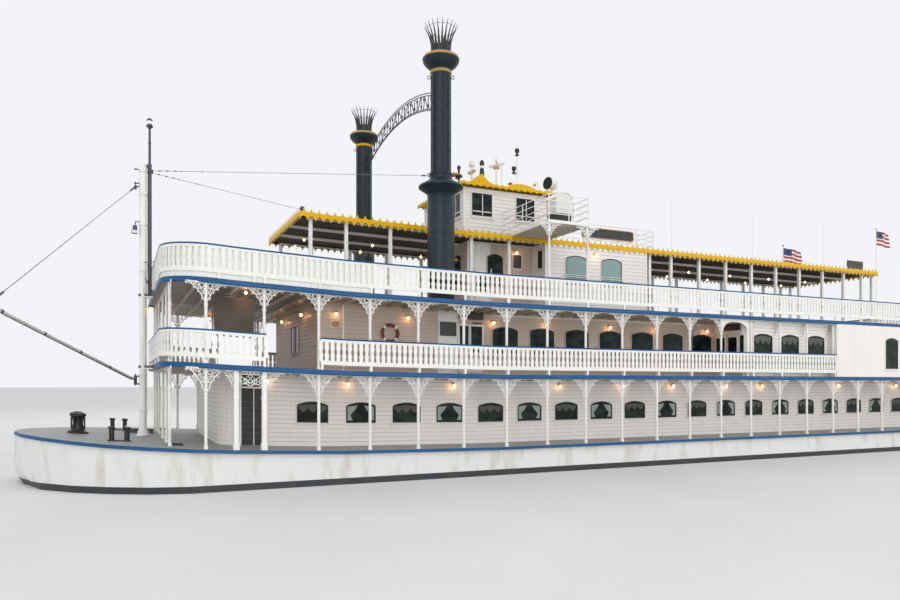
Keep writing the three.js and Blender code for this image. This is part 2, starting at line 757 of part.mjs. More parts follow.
// The arch between the chimneys: two chords with cross bars between
const archThickness = 0.1;
const archRise = 1.0;
const archEndHeights = [7.5, 8.2];
const archBar = 0.08;
const archPanels = 10;

function archHeight(side, endHeight) {
  return thirdDeck + endHeight + archRise * (1 - (side / chimneySide) ** 2);
}

function chimneyArch() {
  const [low, high] = archEndHeights;
  const steps = archPanels * 2;
  const sides = Array.from({ length: steps + 1 }, (_, i) => -chimneySide + (2 * chimneySide * i) / steps);
  const edge = (end) => sides.map((side) => new THREE.Vector2(side, archHeight(side, end)));
  const shape = new THREE.Shape([...edge(low), ...edge(high).reverse()]);
  const reach = chimneySide / archPanels - archBar / 2;
  for (let panel = 0; panel < archPanels; panel += 1) {
    const middle = -chimneySide + (2 * chimneySide * (panel + 0.5)) / archPanels;
    const row = [middle - reach, middle, middle + reach];
    const bottom = row.map((side) => new THREE.Vector2(side, archHeight(side, low) + archBar));
    const top = row.map((side) => new THREE.Vector2(side, archHeight(side, high) - archBar));
    shape.holes.push(new THREE.Path([...bottom, ...top.reverse()]));
  }
  const ladder = extrudeAlong(shape, chimneyStation - archThickness / 2, chimneyStation + archThickness / 2);
  const sockets = [-chimneySide, chimneySide].map((side) => (
    drum(chimneyTube + GAP, thirdDeck + 7, thirdDeck + 8.94, chimneyStation, side, chimneySides)));
  return cut(ladder, ...sockets);
}

add('chimney_arch', chimneyArch(), dark);

// Bow mast with its topmast, collars and crane iron
const mastFoot = mainDeck + sheer(mastStation - mastRadius) + GAP;
const mastTop = 13.55;
const topmastStation = mastStation + 0.24;
const topmastRadius = 0.08;
const topmastSpan = [8.4, 15.2];
const lanternRadius = 0.13;
const lanternTop = 15.41;
const collarHalfWidth = 0.12;
const pivotStation = mastStation - 0.27;
const pinRadius = 0.02;
const headArm = [12.7, 12.78];
const lugHeights = [[5.0, 5.06], [5.3, 5.36]];
const lugReach = [pivotStation - 0.06, mastStation];

function bowMast() {
  const upperCollar = [thirdDeck + sheer(0) - 0.1, thirdDeck + sheer(0) - 0.02];
  const lowerCollar = [secondDeck + sheer(0) - 0.1, secondDeck + sheer(0) - 0.02];
  return fuse(
    drum(mastRadius, mastFoot, mastTop, mastStation, 0, 12),
    drum(topmastRadius, ...topmastSpan, topmastStation, 0),
    drum(lanternRadius, topmastSpan[1], lanternTop, topmastStation, 0),
    ...[upperCollar, lowerCollar].map((heights) => box([mastStation - 0.2, -GAP],
      [-collarHalfWidth, collarHalfWidth], heights)),
    box([pivotStation - 0.05, mastStation], [-0.04, 0.04], headArm),
    drum(pinRadius, headArm[0] - 0.15, headArm[0] + 0.02, pivotStation, 0),
    ...lugHeights.map((heights) => box(lugReach, [-0.05, 0.05], heights)),
    drum(pinRadius, lugHeights[0][0] + 0.02, lugHeights[1][1] - 0.02, pivotStation, 0),
  );
}

add('bow_mast', bowMast(), white);

// Boom, swung out to port ahead, and its topping lift
const boomLength = 10;
const boomHeading = (70 * Math.PI) / 180;
const boomHeel = 5.18;
const boomTip = 6.93;
const boomRadius = 0.08;
const eyeRadius = 0.06;
const eyeBore = 0.022;
const tipPeg = [6.9, 7.1];
const liftRadius = 0.015;
const liftEye = [12.6, 12.7 - GAP];

function alongBoom(reach, height) {
  return [pivotStation - reach * Math.cos(boomHeading), -reach * Math.sin(boomHeading), height];
}

const pinHole = drum(eyeBore, 0, 20, pivotStation, 0);
const boomEye = [lugHeights[0][1] + GAP, lugHeights[1][0] - GAP];
const tipPlace = alongBoom(boomLength, 0);
add('boom', fuse(
  cut(drum(eyeRadius, ...boomEye, pivotStation, 0), pinHole),
  bar(alongBoom(eyeRadius * 0.75, boomHeel), alongBoom(boomLength, boomTip), boomRadius),
  drum(eyeRadius, ...tipPeg, tipPlace[0], tipPlace[1]),
), grey);
add('boom_lift', fuse(
  cut(drum(eyeRadius, ...liftEye, pivotStation, 0), pinHole),
  bar(alongBoom(eyeRadius * 0.75, liftEye[0] + 0.04), alongBoom(boomLength, tipPeg[1] + 0.06), liftRadius, 6),
  drum(eyeRadius, tipPeg[1] + GAP, tipPeg[1] + 0.1, tipPlace[0], tipPlace[1]),
), grey);

// Stays from the mast to the chimneys
const stayMast = 13.33;
const stayChimney = 13.15;
const stayRadius = 0.0125;
addPair('mast_stay', cut(
  bar([mastStation, 0, stayMast], [chimneyStation, -chimneySide, stayChimney], stayRadius, 6),
  drum(mastRadius + GAP, stayMast - 0.2, stayMast + 0.2, mastStation, 0, 12),
  drum(chimneyTube + GAP, stayChimney - 0.15, stayChimney + 0.2, chimneyStation, -chimneySide, chimneySides),
), grey);

// Blank name board on the canopy's roof, on the railing behind it
const boardSpan = [18.2, 21.15];
const boardHeights = [11.8, 12.3];
const boardSides = [-2.9, -2.84];
const roofRailSpan = [17.2, 22.4];
const roofRailSides = [-2.85, -2.81];
const roofRailHeights = [0.5, 1.0];
const roofRailPosts = 5;

function roofBoard() {
  const pitch = (roofRailSpan[1] - roofRailSpan[0] - wingBar) / (roofRailPosts - 1);
  const posts = Array.from({ length: roofRailPosts }, (_, i) => roofRailSpan[0] + pitch * i);
  return fuse(
    box(boardSpan, boardSides, boardHeights),
    ...roofRailHeights.map((height) => box(roofRailSpan, roofRailSides,
      [canopyRoof + height - wingBar, canopyRoof + height])),
    ...posts.map((station) => box([station, station + wingBar], roofRailSides,
      [canopyRoof + GAP, canopyRoof + roofRailHeights[1]])),
  );
}

add('roof_board', roofBoard(), black);

// Paddlewheel: frames of arms and rings that carry the buckets, on a shaft across the stern
const shaftRadius = 0.25;
const shaftHalfLength = 4.65;
const shaftSides = 32;
const wheelArms = 16;
const wheelFrames = [-3.45, 0, 3.45];
const frameHalfWidth = 0.06;
const hubRadius = 0.5;
const armWidth = 0.12;
const armReach = 3.3;
const rimInner = 3.18;
const bucketInner = 3.0;
const bucketThickness = 0.06;

// Frame outline: a rim and a hub with an arm at each corner, open between the arms
function wheelFrame(side) {
  const step = (Math.PI * 2) / wheelArms;
  const at = (radius, angle, shift) => new THREE.Vector2(
    radius * Math.cos(angle) - shift * Math.sin(angle),
    radius * Math.sin(angle) + shift * Math.cos(angle),
  );
  const rim = Array.from({ length: wheelArms }, (_, i) => at(armReach, i * step, 0));
  const shape = new THREE.Shape(rim);
  for (let i = 0; i < wheelArms; i += 1) {
    const [near, far] = [i * step, (i + 1) * step];
    const half = armWidth / 2;
    shape.holes.push(new THREE.Path([
      at(hubRadius, near, half), at(rimInner, near, half), at(rimInner, far, -half), at(hubRadius, far, -half),
    ]));
  }
  return extrudeAcross(shape, side - frameHalfWidth, side + frameHalfWidth);
}

function acrossBar(radius, reach, x, z) {
  return new THREE.CylinderGeometry(radius, radius, reach * 2, shaftSides).translate(x, 0, z);
}

function paddleWheel() {
  const buckets = Array.from({ length: wheelArms }, (_, i) => (
    box([bucketInner, wheelRadius], [-wheelHalfWidth, wheelHalfWidth],
      [armWidth / 2 - bucketThickness, armWidth / 2])
      .rotateY((i * Math.PI * 2) / wheelArms)));
  const wheel = fuse(...wheelFrames.map(wheelFrame), ...buckets).translate(wheelStation, 0, wheelHeight);
  return cut(wheel, acrossBar(shaftRadius + GAP, shaftHalfLength, wheelStation, wheelHeight));
}

add('paddle_wheel', paddleWheel(), red);
add('wheel_shaft', acrossBar(shaftRadius, shaftHalfLength, wheelStation, wheelHeight), grey);

// Wheel beams with the shaft's bearings, run out from the main deck
const beamSides = [-4.5, -4.0];
const bearingRadius = 0.2516;
const beamDeck = mainDeck + GAP;
// [station, height]
const beamOutline = [
  [41.5, beamDeck], [transom + 0.3, beamDeck], [51.0, 3.4], [51.0, 4.0], [50.15, 4.1], [50.15, 5.0],
  [49.05, 5.0], [49.05, 4.1], [44.0, 3.6], [41.5, 3.3],
];
const beamShape = new THREE.Shape(beamOutline.map(([station, height]) => new THREE.Vector2(station, height)));
addPair('wheel_beam', cut(
  extrudeAcross(beamShape, ...beamSides),
  acrossBar(bearingRadius, shaftHalfLength + 1, wheelStation, wheelHeight),
), white);

// Rudders under the stern, ahead of the wheel
const rudderStation = 44.0;
const rudderSide = 3.0;
const stockRadius = 0.1;
const sternBottom = 1.2;
const rudderBlade = fuse(
  box([43.2, 45.8], [-rudderSide - 0.05, -rudderSide + 0.05], [0.05, 0.95]),
  drum(stockRadius, 0.8, sternBottom - GAP, rudderStation, -rudderSide),
);
addPair('rudder', rudderBlade, grey);

export default group;
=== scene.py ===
# Sternwheel paddle boat, a 1:2 scale model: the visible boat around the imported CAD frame.
# Lengths are the real boat's, in metres, until settle() turns them into the model's.
# A station is the distance aft of the upper decks' fronts (+X), a side is +Y to starboard,
# and a height is measured up from the flat bottom of the hull.
import json
import math

import bmesh
import bpy
import numpy as np
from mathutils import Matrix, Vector


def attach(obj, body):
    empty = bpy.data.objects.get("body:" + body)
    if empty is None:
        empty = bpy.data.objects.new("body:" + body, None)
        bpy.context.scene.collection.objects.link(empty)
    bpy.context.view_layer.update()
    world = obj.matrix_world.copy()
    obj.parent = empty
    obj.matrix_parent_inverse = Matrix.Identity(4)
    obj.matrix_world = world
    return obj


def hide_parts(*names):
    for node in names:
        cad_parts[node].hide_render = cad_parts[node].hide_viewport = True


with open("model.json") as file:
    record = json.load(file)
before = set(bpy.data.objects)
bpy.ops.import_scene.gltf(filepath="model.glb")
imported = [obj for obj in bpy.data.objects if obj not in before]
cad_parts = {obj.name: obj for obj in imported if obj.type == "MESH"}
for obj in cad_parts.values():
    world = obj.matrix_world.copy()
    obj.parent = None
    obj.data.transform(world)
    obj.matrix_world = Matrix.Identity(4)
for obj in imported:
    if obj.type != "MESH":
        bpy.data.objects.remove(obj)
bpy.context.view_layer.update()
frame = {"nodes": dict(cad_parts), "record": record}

TAU = math.tau
MODEL_SCALE = 0.5
ORIGIN_STATION = 20.0

# Levels and outlines that the CAD source sets
MAIN_DECK = 2.6
SECOND_DECK = 5.38
THIRD_DECK = 8.16
DECK_DEPTH = 0.13
WATERLINE = 1.5
DECK_HALF = 6.1
DECK_AFT = 43.5
DECK_FRONT = 0.0
DECK_CORNER = 1.7
FRONT_POSTS = 0.3
BAY = 1.86
FIRST_POST = 1.34
ARCADE_SIDE = 5.93
MAIN_WALL = 4.16
RAIL_SIDE = 6.065
GALLERY_SIDE = 3.96
GALLERY_END = 25.3
LOUNGE_SIDE = 5.66
LOUNGE_END = 31.25
FLUSH_SIDE = 6.08
CANOPY = (5.07, 38.75)
CANOPY_HALF = 3.04
CANOPY_TOP = 11.48
CANOPY_ROOF = 11.46
STACK_STATION = 10.2
STACK_SIDE = 4.8
MAST_STATION = -0.35
WHEEL_STATION = 49.6
WHEEL_HEIGHT = 4.5

# The decks rise towards the bow in straight runs between these stations, and heights between
# SHEER_FOOT and SHEER_NONE rise with them
SHEER_BREAKS = (-4.6, -1.6, 2.2, 6.0, 12.0)
SHEER_STEEPNESS = 0.0027
SHEER_FOOT = 1.5
SHEER_FULL = 2.4
SHEER_FADE = 9.4
SHEER_NONE = 11.2


def sheer_at_break(station):
    return SHEER_STEEPNESS * max(0.0, SHEER_BREAKS[-1] - station) ** 2


def sheer(station):
    """Rise of the decks at a station, in straight runs as in the CAD."""
    station = max(station, SHEER_BREAKS[0])
    for low, high in zip(SHEER_BREAKS, SHEER_BREAKS[1:]):
        if station <= high:
            share = (station - low) / (high - low)
            return sheer_at_break(low) * (1 - share) + sheer_at_break(high) * share
    return 0.0


def lifted(station, height):
    rising = (height - SHEER_FOOT) / (SHEER_FULL - SHEER_FOOT)
    falling = (SHEER_NONE - height) / (SHEER_NONE - SHEER_FADE)
    return height + sheer(station) * min(1.0, max(0.0, min(rising, falling)))


def model_point(station, side, height, sheered=False):
    if sheered:
        height = lifted(station, height)
    return Vector((station - ORIGIN_STATION, side, height)) * MODEL_SCALE


def run(start, end):
    """Stations from start to end, with the sheer's breaks between them."""
    return [start, *(s for s in SHEER_BREAKS if start < s < end), end]


def evenly(low, high, steps):
    return [low + (high - low) * i / steps for i in range(steps + 1)]


def round_about(steps, turn=TAU, start=0.0):
    """Pairs of cosine and sine round a circle, or round a part of one with both its ends."""
    count = steps if turn == TAU else steps + 1
    return [(math.cos(start + turn * i / steps), math.sin(start + turn * i / steps)) for i in range(count)]


# A lathe's profile that reaches the axis ends in a ring of this radius
ON_AXIS = 0.0005


class Shape:
    """Faces of one piece in real metres, each with the number of its paint."""

    def __init__(self, points=(), faces=(), paints=()):
        self.points, self.faces, self.paints = list(points), list(faces), list(paints)

    def add(self, points, faces, paint=0):
        base = len(self.points)
        self.points += [tuple(p) for p in points]
        self.faces += [tuple(base + i for i in face) for face in faces]
        self.paints += [paint] * len(faces)
        return self

    def join(self, other, turn=0.0, move=(0, 0, 0), paint=None):
        """Adds a copy of another shape, turned about +Z and moved."""
        c, s = math.cos(turn), math.sin(turn)
        base = len(self.points)
        self.points += [
            (x * c - y * s + move[0], x * s + y * c + move[1], z + move[2])
            for x, y, z in other.points
        ]
        self.faces += [tuple(base + i for i in face) for face in other.faces]
        self.paints += other.paints if paint is None else [paint] * len(other.faces)
        return self

    def mirrored(self, place=lambda x, y, z: (x, -y, z)):
        """The mirror image, on the other side of the centreline if no other place is given."""
        return Shape([place(*p) for p in self.points], [face[::-1] for face in self.faces], self.paints)

    def both_sides(self):
        return Shape().join(self).join(self.mirrored())

    def box(self, stations, sides, heights, paint=0):
        low, high = zip(*(sorted(pair) for pair in (stations, sides, heights)))
        points = [(x, y, z) for x in (low[0], high[0]) for y in (low[1], high[1]) for z in (low[2], high[2])]
        faces = [(0, 1, 3, 2), (4, 6, 7, 5), (0, 4, 5, 1), (2, 3, 7, 6), (0, 2, 6, 4), (1, 5, 7, 3)]
        return self.add(points, faces, paint)

    def block(self, middle, size, paint=0):
        spans = [(m - d / 2, m + d / 2) for m, d in zip(middle, size)]
        return self.box(*spans, paint)

    def prism(self, outline, low, high, across="y", paint=0):
        """A flat outline given depth. Outline pairs: (x, z) across y, (x, y) across z."""
        count = len(outline)
        points = [(a, d, b) if across == "y" else (a, b, d) for d in (low, high) for a, b in outline]
        faces = [tuple(range(count)), tuple(reversed(range(count, 2 * count)))]
        faces += [(i, i + count, (i + 1) % count + count, (i + 1) % count) for i in range(count)]
        return self.add(points, faces, paint)

    def frame(self, outer, inner, front, back, paint=0):
        """A flat frame across y, between two outlines of as many (x, z) points."""
        n = len(outer)
        points = [(x, y, z) for y in (front, back) for line in (outer, inner) for x, z in line]
        faces = []
        for i in range(n):
            j = (i + 1) % n
            faces += [(i, j, n + j, n + i), (2 * n + j, 2 * n + i, 3 * n + i, 3 * n + j),
                      (j, i, 2 * n + i, 2 * n + j), (n + i, n + j, 3 * n + j, 3 * n + i)]
        return self.add(points, faces, paint)

    def rings(self, rings, paint=0, closed=False):
        """Skins a list of equal rings of points."""
        count = len(rings[0])
        points = [p for ring in rings for p in ring]
        faces = []
        spans = len(rings) if closed else len(rings) - 1
        for r in range(spans):
            a, b = r * count, ((r + 1) % len(rings)) * count
            faces += [(a + i, a + (i + 1) % count, b + (i + 1) % count, b + i) for i in range(count)]
        if not closed:
            faces += [tuple(reversed(range(count))), tuple(range(len(points) - count, len(points)))]
        return self.add(points, faces, paint)

    def tube(self, path, radius, sides=6, paint=0, closed=False, end_radius=None):
        """A round bar along a path of points, with a taper if its end has a radius of its own."""
        path = [Vector(p) for p in path]
        radii = evenly(radius, radius if end_radius is None else end_radius, len(path) - 1)
        rings = []
        across = None
        for i, point in enumerate(path):
            before = path[i - 1] if i or closed else point
            after = path[(i + 1) % len(path)] if i < len(path) - 1 or closed else point
            along = (after - before).normalized()
            if across is None:
                guide = Vector((0, 0, 1)) if abs(along.z) < 0.9 else Vector((1, 0, 0))
                across = along.cross(guide).normalized()
            across = (across - along * across.dot(along)).normalized()
            up = along.cross(across)
            rings.append([point + (across * c + up * s) * radii[i] for c, s in round_about(sides)])
        return self.rings(rings, paint, closed)

    def lathe(self, profile, middle=(0, 0), sides=24, paint=0, phase=0.0):
        """Turns (radius, height) pairs about a vertical line; the ends close on the axis."""
        x, y = middle
        rings = []
        for radius, height in profile:
            r = max(radius, ON_AXIS)
            rings.append([(x + r * c, y + r * s, height) for c, s in round_about(sides, TAU, phase)])
        return self.rings(rings, paint)

    def torus(self, middle, height, major, minor, sides=32, around=8, paint=0, squash=1.0):
        """A level ring, round or flattened in section."""
        x, y = middle
        rings = [
            [(x + (major + minor * c) * cx, y + (major + minor * c) * cy, height + squash * minor * s)
             for c, s in round_about(around)]
            for cx, cy in round_about(sides)
        ]
        return self.rings(rings, paint, closed=True)

    def ball(self, middle, radius, sides=10, paint=0):
        profile = [(radius * s, middle[2] - radius * c) for c, s in round_about(sides // 2, math.pi)]
        return self.lathe(profile, middle[:2], sides, paint)

    def sweep(self, path, profile, paint=0):
        """A profile of (out, up) pairs carried along a path of (station, side, height).

        Out is to the right of the way along the path, seen from above, with mitred corners.
        """
        rings = []
        for i, (x, y, z) in enumerate(path):
            near = path[max(i - 1, 0):i + 2]
            ways = [Vector((b[0] - a[0], b[1] - a[1])).normalized() for a, b in zip(near, near[1:])]
            normals = [Vector((d.y, -d.x)) for d in ways]
            out = sum(normals, Vector((0, 0))).normalized()
            out /= max(0.3, out.dot(normals[0]))
            rings.append([(x + out.x * o, y + out.y * o, z + u) for o, u in profile])
        return self.rings(rings, paint)


def mesh_of(name, shape, paints):
    """A closed mesh of a shape in real metres, with its faces outwards."""
    mesh = bpy.data.meshes.new(name)
    mesh.from_pydata(shape.points, [], shape.faces)
    mesh.polygons.foreach_set("material_index", shape.paints)
    for paint in paints:
        mesh.materials.append(paint)
    work = bmesh.new()
    work.from_mesh(mesh)
    bmesh.ops.recalc_face_normals(work, faces=work.faces)
    work.to_mesh(mesh)
    work.free()
    return mesh


def settle(name, mesh, body="boat", sheered=True, smooth=None, bevel=0.0, replaces=(), slot=None):
    """Takes a mesh in real metres to its place in the model and gives it to its body.

    With sheered="whole" the sheer doesn't fade out above the third deck.
    """
    count = len(mesh.vertices)
    places = np.empty(count * 3)
    mesh.vertices.foreach_get("co", places)
    places = places.reshape(-1, 3)
    if sheered:
        rising = (places[:, 2] - SHEER_FOOT) / (SHEER_FULL - SHEER_FOOT)
        falling = (SHEER_NONE - places[:, 2]) / (SHEER_NONE - SHEER_FADE)
        if sheered == "whole":
            falling = rising
        share = np.clip(np.minimum(rising, falling), 0.0, 1.0)
        rise = np.interp(places[:, 0], SHEER_BREAKS, [sheer_at_break(s) for s in SHEER_BREAKS])
        places[:, 2] += rise * share
    places[:, 0] -= ORIGIN_STATION
    mesh.vertices.foreach_set("co", (places * MODEL_SCALE).ravel())
    if smooth is not None:
        mesh.shade_smooth()
        mesh.set_sharp_from_angle(angle=math.radians(smooth))
    mesh.update()
    piece = bpy.data.objects.new(name, mesh)
    bpy.context.scene.collection.objects.link(piece)
    if bevel:
        edge = piece.modifiers.new("edge", "BEVEL")
        edge.width = bevel * MODEL_SCALE
        edge.segments = 1
        edge.limit_method = "ANGLE"
    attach(piece, body)
    if replaces:
        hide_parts(*replaces)
    return piece


def build(name, shape, paints, **settings):
    return settle(name, mesh_of(name, shape, paints), **settings)


def node(tree, kind, inputs=None, **settings):
    """One node, with its settings and with each named input linked or set."""
    made = tree.nodes.new(kind)
    for key, value in settings.items():
        setattr(made, key, value)
    for key, value in (inputs or {}).items():
        join_or_set(tree, next(s for s in made.inputs if s.enabled and s.name == key), value)
    return made


def join_or_set(tree, socket, value):
    if isinstance(value, bpy.types.NodeSocket):
        tree.links.new(value, socket)
    else:
        socket.default_value = value


def out(made, name=None):
    return next(s for s in made.outputs if s.enabled and (name is None or s.name == name))


PAINT_INPUTS = ("First paint", "Second paint", "Third paint")


def new_tree(name, **inputs):
    """A Geometry Nodes tree with its input and output, and its named inputs."""
    tree = bpy.data.node_groups.new(name, "GeometryNodeTree")
    face = tree.interface
    face.new_socket(name="Geometry", in_out="OUTPUT", socket_type="NodeSocketGeometry")
    face.new_socket(name="Geometry", in_out="INPUT", socket_type="NodeSocketGeometry")
    for label, kind in inputs.items():
        face.new_socket(name=label, in_out="INPUT", socket_type="NodeSocket" + kind)
    for label in PAINT_INPUTS:
        face.new_socket(name=label, in_out="INPUT", socket_type="NodeSocketMaterial")
    return tree, tree.nodes.new("NodeGroupInput")


def finish_tree(tree, given, geometry):
    """Ends a tree: instances become real, and each face takes the paint with its number."""
    made = out(node(tree, "GeometryNodeRealizeInstances", {"Geometry": geometry}))
    number = node(tree, "GeometryNodeInputNamedAttribute", {"Name": "paint"}, data_type="INT")
    for i, label in enumerate(PAINT_INPUTS):
        same = node(tree, "FunctionNodeCompare", {"A": out(number, "Attribute"), "B": i},
                    data_type="INT", operation="EQUAL")
        made = out(node(tree, "GeometryNodeSetMaterial", {
            "Geometry": made, "Selection": out(same), "Material": given.outputs[label],
        }))
    node(tree, "NodeGroupOutput", {"Geometry": made})
    return tree


def copies_tree():
    """A copy of the Shape at each point, turned by 'turn' and stretched by 'size'."""
    tree, given = new_tree("copies", Shape="Object")
    shape = node(tree, "GeometryNodeObjectInfo", {"Object": given.outputs["Shape"]})
    turn = node(tree, "GeometryNodeInputNamedAttribute", {"Name": "turn"}, data_type="FLOAT_VECTOR")
    size = node(tree, "GeometryNodeInputNamedAttribute", {"Name": "size"}, data_type="FLOAT_VECTOR")
    rotation = node(tree, "FunctionNodeEulerToRotation", {"Euler": out(turn, "Attribute")})
    placed = node(tree, "GeometryNodeInstanceOnPoints", {
        "Points": given.outputs["Geometry"], "Instance": out(shape, "Geometry"),
        "Rotation": out(rotation), "Scale": out(size, "Attribute"),
    })
    return finish_tree(tree, given, out(placed))


def along_tree():
    """A copy of the Shape at every Pitch along a path, its +X along the path in plan."""
    tree, given = new_tree("along", Shape="Object", Pitch="Float")
    shape = node(tree, "GeometryNodeObjectInfo", {"Object": given.outputs["Shape"]})
    curve = node(tree, "GeometryNodeMeshToCurve", {"Mesh": given.outputs["Geometry"]})
    stops = node(tree, "GeometryNodeResampleCurve", {
        "Curve": out(curve), "Length": given.outputs["Pitch"]}, mode="LENGTH")
    way = node(tree, "ShaderNodeSeparateXYZ", {"Vector": out(node(tree, "GeometryNodeInputTangent"))})
    flat = node(tree, "ShaderNodeCombineXYZ", {"X": out(way, "X"), "Y": out(way, "Y")})
    turn = node(tree, "FunctionNodeAlignRotationToVector", {"Vector": out(flat)}, axis="X", pivot_axis="Z")
    placed = node(tree, "GeometryNodeInstanceOnPoints", {
        "Points": out(stops), "Instance": out(shape, "Geometry"), "Rotation": out(turn),
    })
    return finish_tree(tree, given, out(placed))


def row_tree():
    """A row of Count boxes of one Size, from Start on by Step."""
    tree, given = new_tree("row", Start="Vector", Step="Vector", Size="Vector", Count="Int")
    line = node(tree, "GeometryNodeMeshLine", {
        "Count": given.outputs["Count"], "Start Location": given.outputs["Start"],
        "Offset": given.outputs["Step"]}, mode="OFFSET")
    bar = node(tree, "GeometryNodeMeshCube", {"Size": given.outputs["Size"]})
    placed = node(tree, "GeometryNodeInstanceOnPoints", {"Points": out(line), "Instance": out(bar, "Mesh")})
    return finish_tree(tree, given, out(placed))


def grown(name, tree, paints, base=None, shape=None, **values):
    """Runs a tree and bakes what it makes to a plain mesh, in real metres."""
    base = base or bpy.data.meshes.new(name)
    host = bpy.data.objects.new(name, base)
    bpy.context.scene.collection.objects.link(host)
    template = None
    if shape is not None:
        cut_out = mesh_of(name, shape, [])
        numbers = cut_out.attributes.new("paint", "INT", "FACE")
        numbers.data.foreach_set("value", shape.paints)
        template = bpy.data.objects.new(name, cut_out)
        bpy.context.scene.collection.objects.link(template)
        values["Shape"] = template
    values.update(zip(PAINT_INPUTS, paints))
    grow = host.modifiers.new("grow", "NODES")
    grow.node_group = tree
    for item in tree.interface.items_tree:
        if item.in_out == "INPUT" and item.name in values:
            grow[item.identifier] = values[item.name]
    graph = bpy.context.evaluated_depsgraph_get()
    mesh = bpy.data.meshes.new_from_object(host.evaluated_get(graph), depsgraph=graph)
    host.modifiers.remove(grow)
    bpy.data.objects.remove(host)
    if template is not None:
        bpy.data.objects.remove(template)
    mesh.name = name
    return mesh


def copies(name, shape, places, paints):
    """Copies of a shape at places of (station, side, height, turn, size); turn and size may be left out."""
    base = bpy.data.meshes.new(name)
    base.from_pydata([place[:3] for place in places], [], [])
    turns = base.attributes.new("turn", "FLOAT_VECTOR", "POINT")
    sizes = base.attributes.new("size", "FLOAT_VECTOR", "POINT")
    for i, place in enumerate(places):
        turn = place[3] if len(place) > 3 else 0.0
        size = place[4] if len(place) > 4 else 1.0
        turns.data[i].vector = turn if isinstance(turn, tuple) else (0, 0, turn)
        sizes.data[i].vector = size if isinstance(size, tuple) else (size, size, size)
    return grown(name, COPIES, paints, base=base, shape=shape)


def along(name, shape, path, pitch, paints):
    """Copies of a shape along a path of (station, side, height)."""
    base = bpy.data.meshes.new(name)
    base.from_pydata(path, [(i, i + 1) for i in range(len(path) - 1)], [])
    return grown(name, ALONG, paints, base=base, shape=shape, Pitch=pitch)


def rows(name, starts, paint):
    """Rows of boxes as one mesh, each given as (start, step, count, size)."""
    return joined(name, [
        grown(name, ROW, [paint], Start=start, Step=step, Count=count, Size=size)
        for start, step, count, size in starts
    ])


def joined(name, meshes):
    """One mesh of several, with their paints."""
    work = bmesh.new()
    paints = []
    for mesh in meshes:
        first = len(work.faces)
        work.from_mesh(mesh)
        work.faces.ensure_lookup_table()
        numbers = []
        for paint in mesh.materials:
            if paint not in paints:
                paints.append(paint)
            numbers.append(paints.index(paint))
        for face in work.faces[first:]:
            face.material_index = numbers[face.material_index] if numbers else 0
    mesh = bpy.data.meshes.new(name)
    work.to_mesh(mesh)
    work.free()
    for paint in paints:
        mesh.materials.append(paint)
    return mesh


COPIES = copies_tree()
ALONG = along_tree()
ROW = row_tree()


# Paints and finishes, each with patterns on the piece's own coordinates

BLUE = (0.001, 0.078, 0.215)
GRIME = (0.36, 0.33, 0.28)


class Finish:
    """A material with its coat; a pattern's strength runs from 0 to 1."""

    def __init__(self, name, **settings):
        self.paint = bpy.data.materials.new(name)
        self.paint.use_nodes = True
        self.tree = self.paint.node_tree
        self.tree.nodes.clear()
        self.coat = self.tree.nodes.new("ShaderNodeBsdfPrincipled")
        end = self.tree.nodes.new("ShaderNodeOutputMaterial")
        self.tree.links.new(self.coat.outputs["BSDF"], end.inputs["Surface"])
        self.place = self.tree.nodes.new("ShaderNodeTexCoord").outputs["Object"]
        self.set(**settings)

    def node(self, kind, inputs=None, **settings):
        return node(self.tree, kind, inputs, **settings)

    def set(self, **values):
        """Sets or links inputs of the coat, which are named with _ for a space."""
        for key, value in values.items():
            join_or_set(self.tree, self.coat.inputs[key.replace("_", " ")], value)

    def noise(self, scale, detail=3.0, stretch=None):
        place = self.place
        if stretch:
            place = out(self.node("ShaderNodeMapping", {"Vector": place, "Scale": stretch}))
        inputs = {"Vector": place, "Scale": scale, "Detail": detail}
        return out(self.node("ShaderNodeTexNoise", inputs), "Fac")

    def bands(self, scale, way, distortion):
        inputs = {"Vector": self.place, "Scale": scale, "Distortion": distortion}
        return out(self.node("ShaderNodeTexWave", inputs, wave_type="BANDS", bands_direction=way), "Fac")

    def ramp(self, value, low, high, start=0.0, end=1.0):
        """Takes a value from low..high to start..end, held at both ends."""
        inputs = {"Value": value, "From Min": low, "From Max": high, "To Min": start, "To Max": end}
        return out(self.node("ShaderNodeMapRange", inputs))

    def blend(self, share, first, second):
        ends = {key: value if isinstance(value, bpy.types.NodeSocket) else (*value, 1.0)
                for key, value in (("A", first), ("B", second))}
        return out(self.node("ShaderNodeMix", {"Factor": share, **ends}, data_type="RGBA"))

    def upwards(self):
        """How far the surface faces up, from -1 to 1."""
        normal = out(self.node("ShaderNodeTexCoord"), "Normal")
        return out(self.node("ShaderNodeSeparateXYZ", {"Vector": normal}), "Z")

    def bump(self, height, strength, distance=0.002):
        """Ends a finish with its surface's roughness in height."""
        inputs = {"Height": height, "Strength": strength, "Distance": distance}
        self.set(Normal=out(self.node("ShaderNodeBump", inputs), "Normal"))
        return self.paint


def darker(colour, share):
    return tuple(c * share for c in colour)


def gloss_paint(name, colour, soiled, rough=0.4, streaks=0.35, coat_share=0.1, metal=0.0, shine=0.5):
    """Weathered gloss paint: soft patches, rain streaks down the surface and fine brush bumps."""
    made = Finish(name)
    patches = made.ramp(made.noise(2.2, 5.0), 0.35, 0.75, 0.0, 0.55)
    runs = made.ramp(made.noise(3.0, 4.0, (9.0, 9.0, 0.7)), 0.5, 0.75, 0.0, streaks)
    shade = made.blend(patches, colour, darker(colour, 0.93))
    made.set(Base_Color=made.blend(runs, shade, soiled))
    made.set(Roughness=made.ramp(made.noise(14.0), 0.3, 0.7, rough - 0.08, rough + 0.12))
    made.set(Coat_Weight=coat_share, Metallic=metal, Specular_IOR_Level=shine)
    return made.bump(made.noise(90.0, 2.0), 0.12)


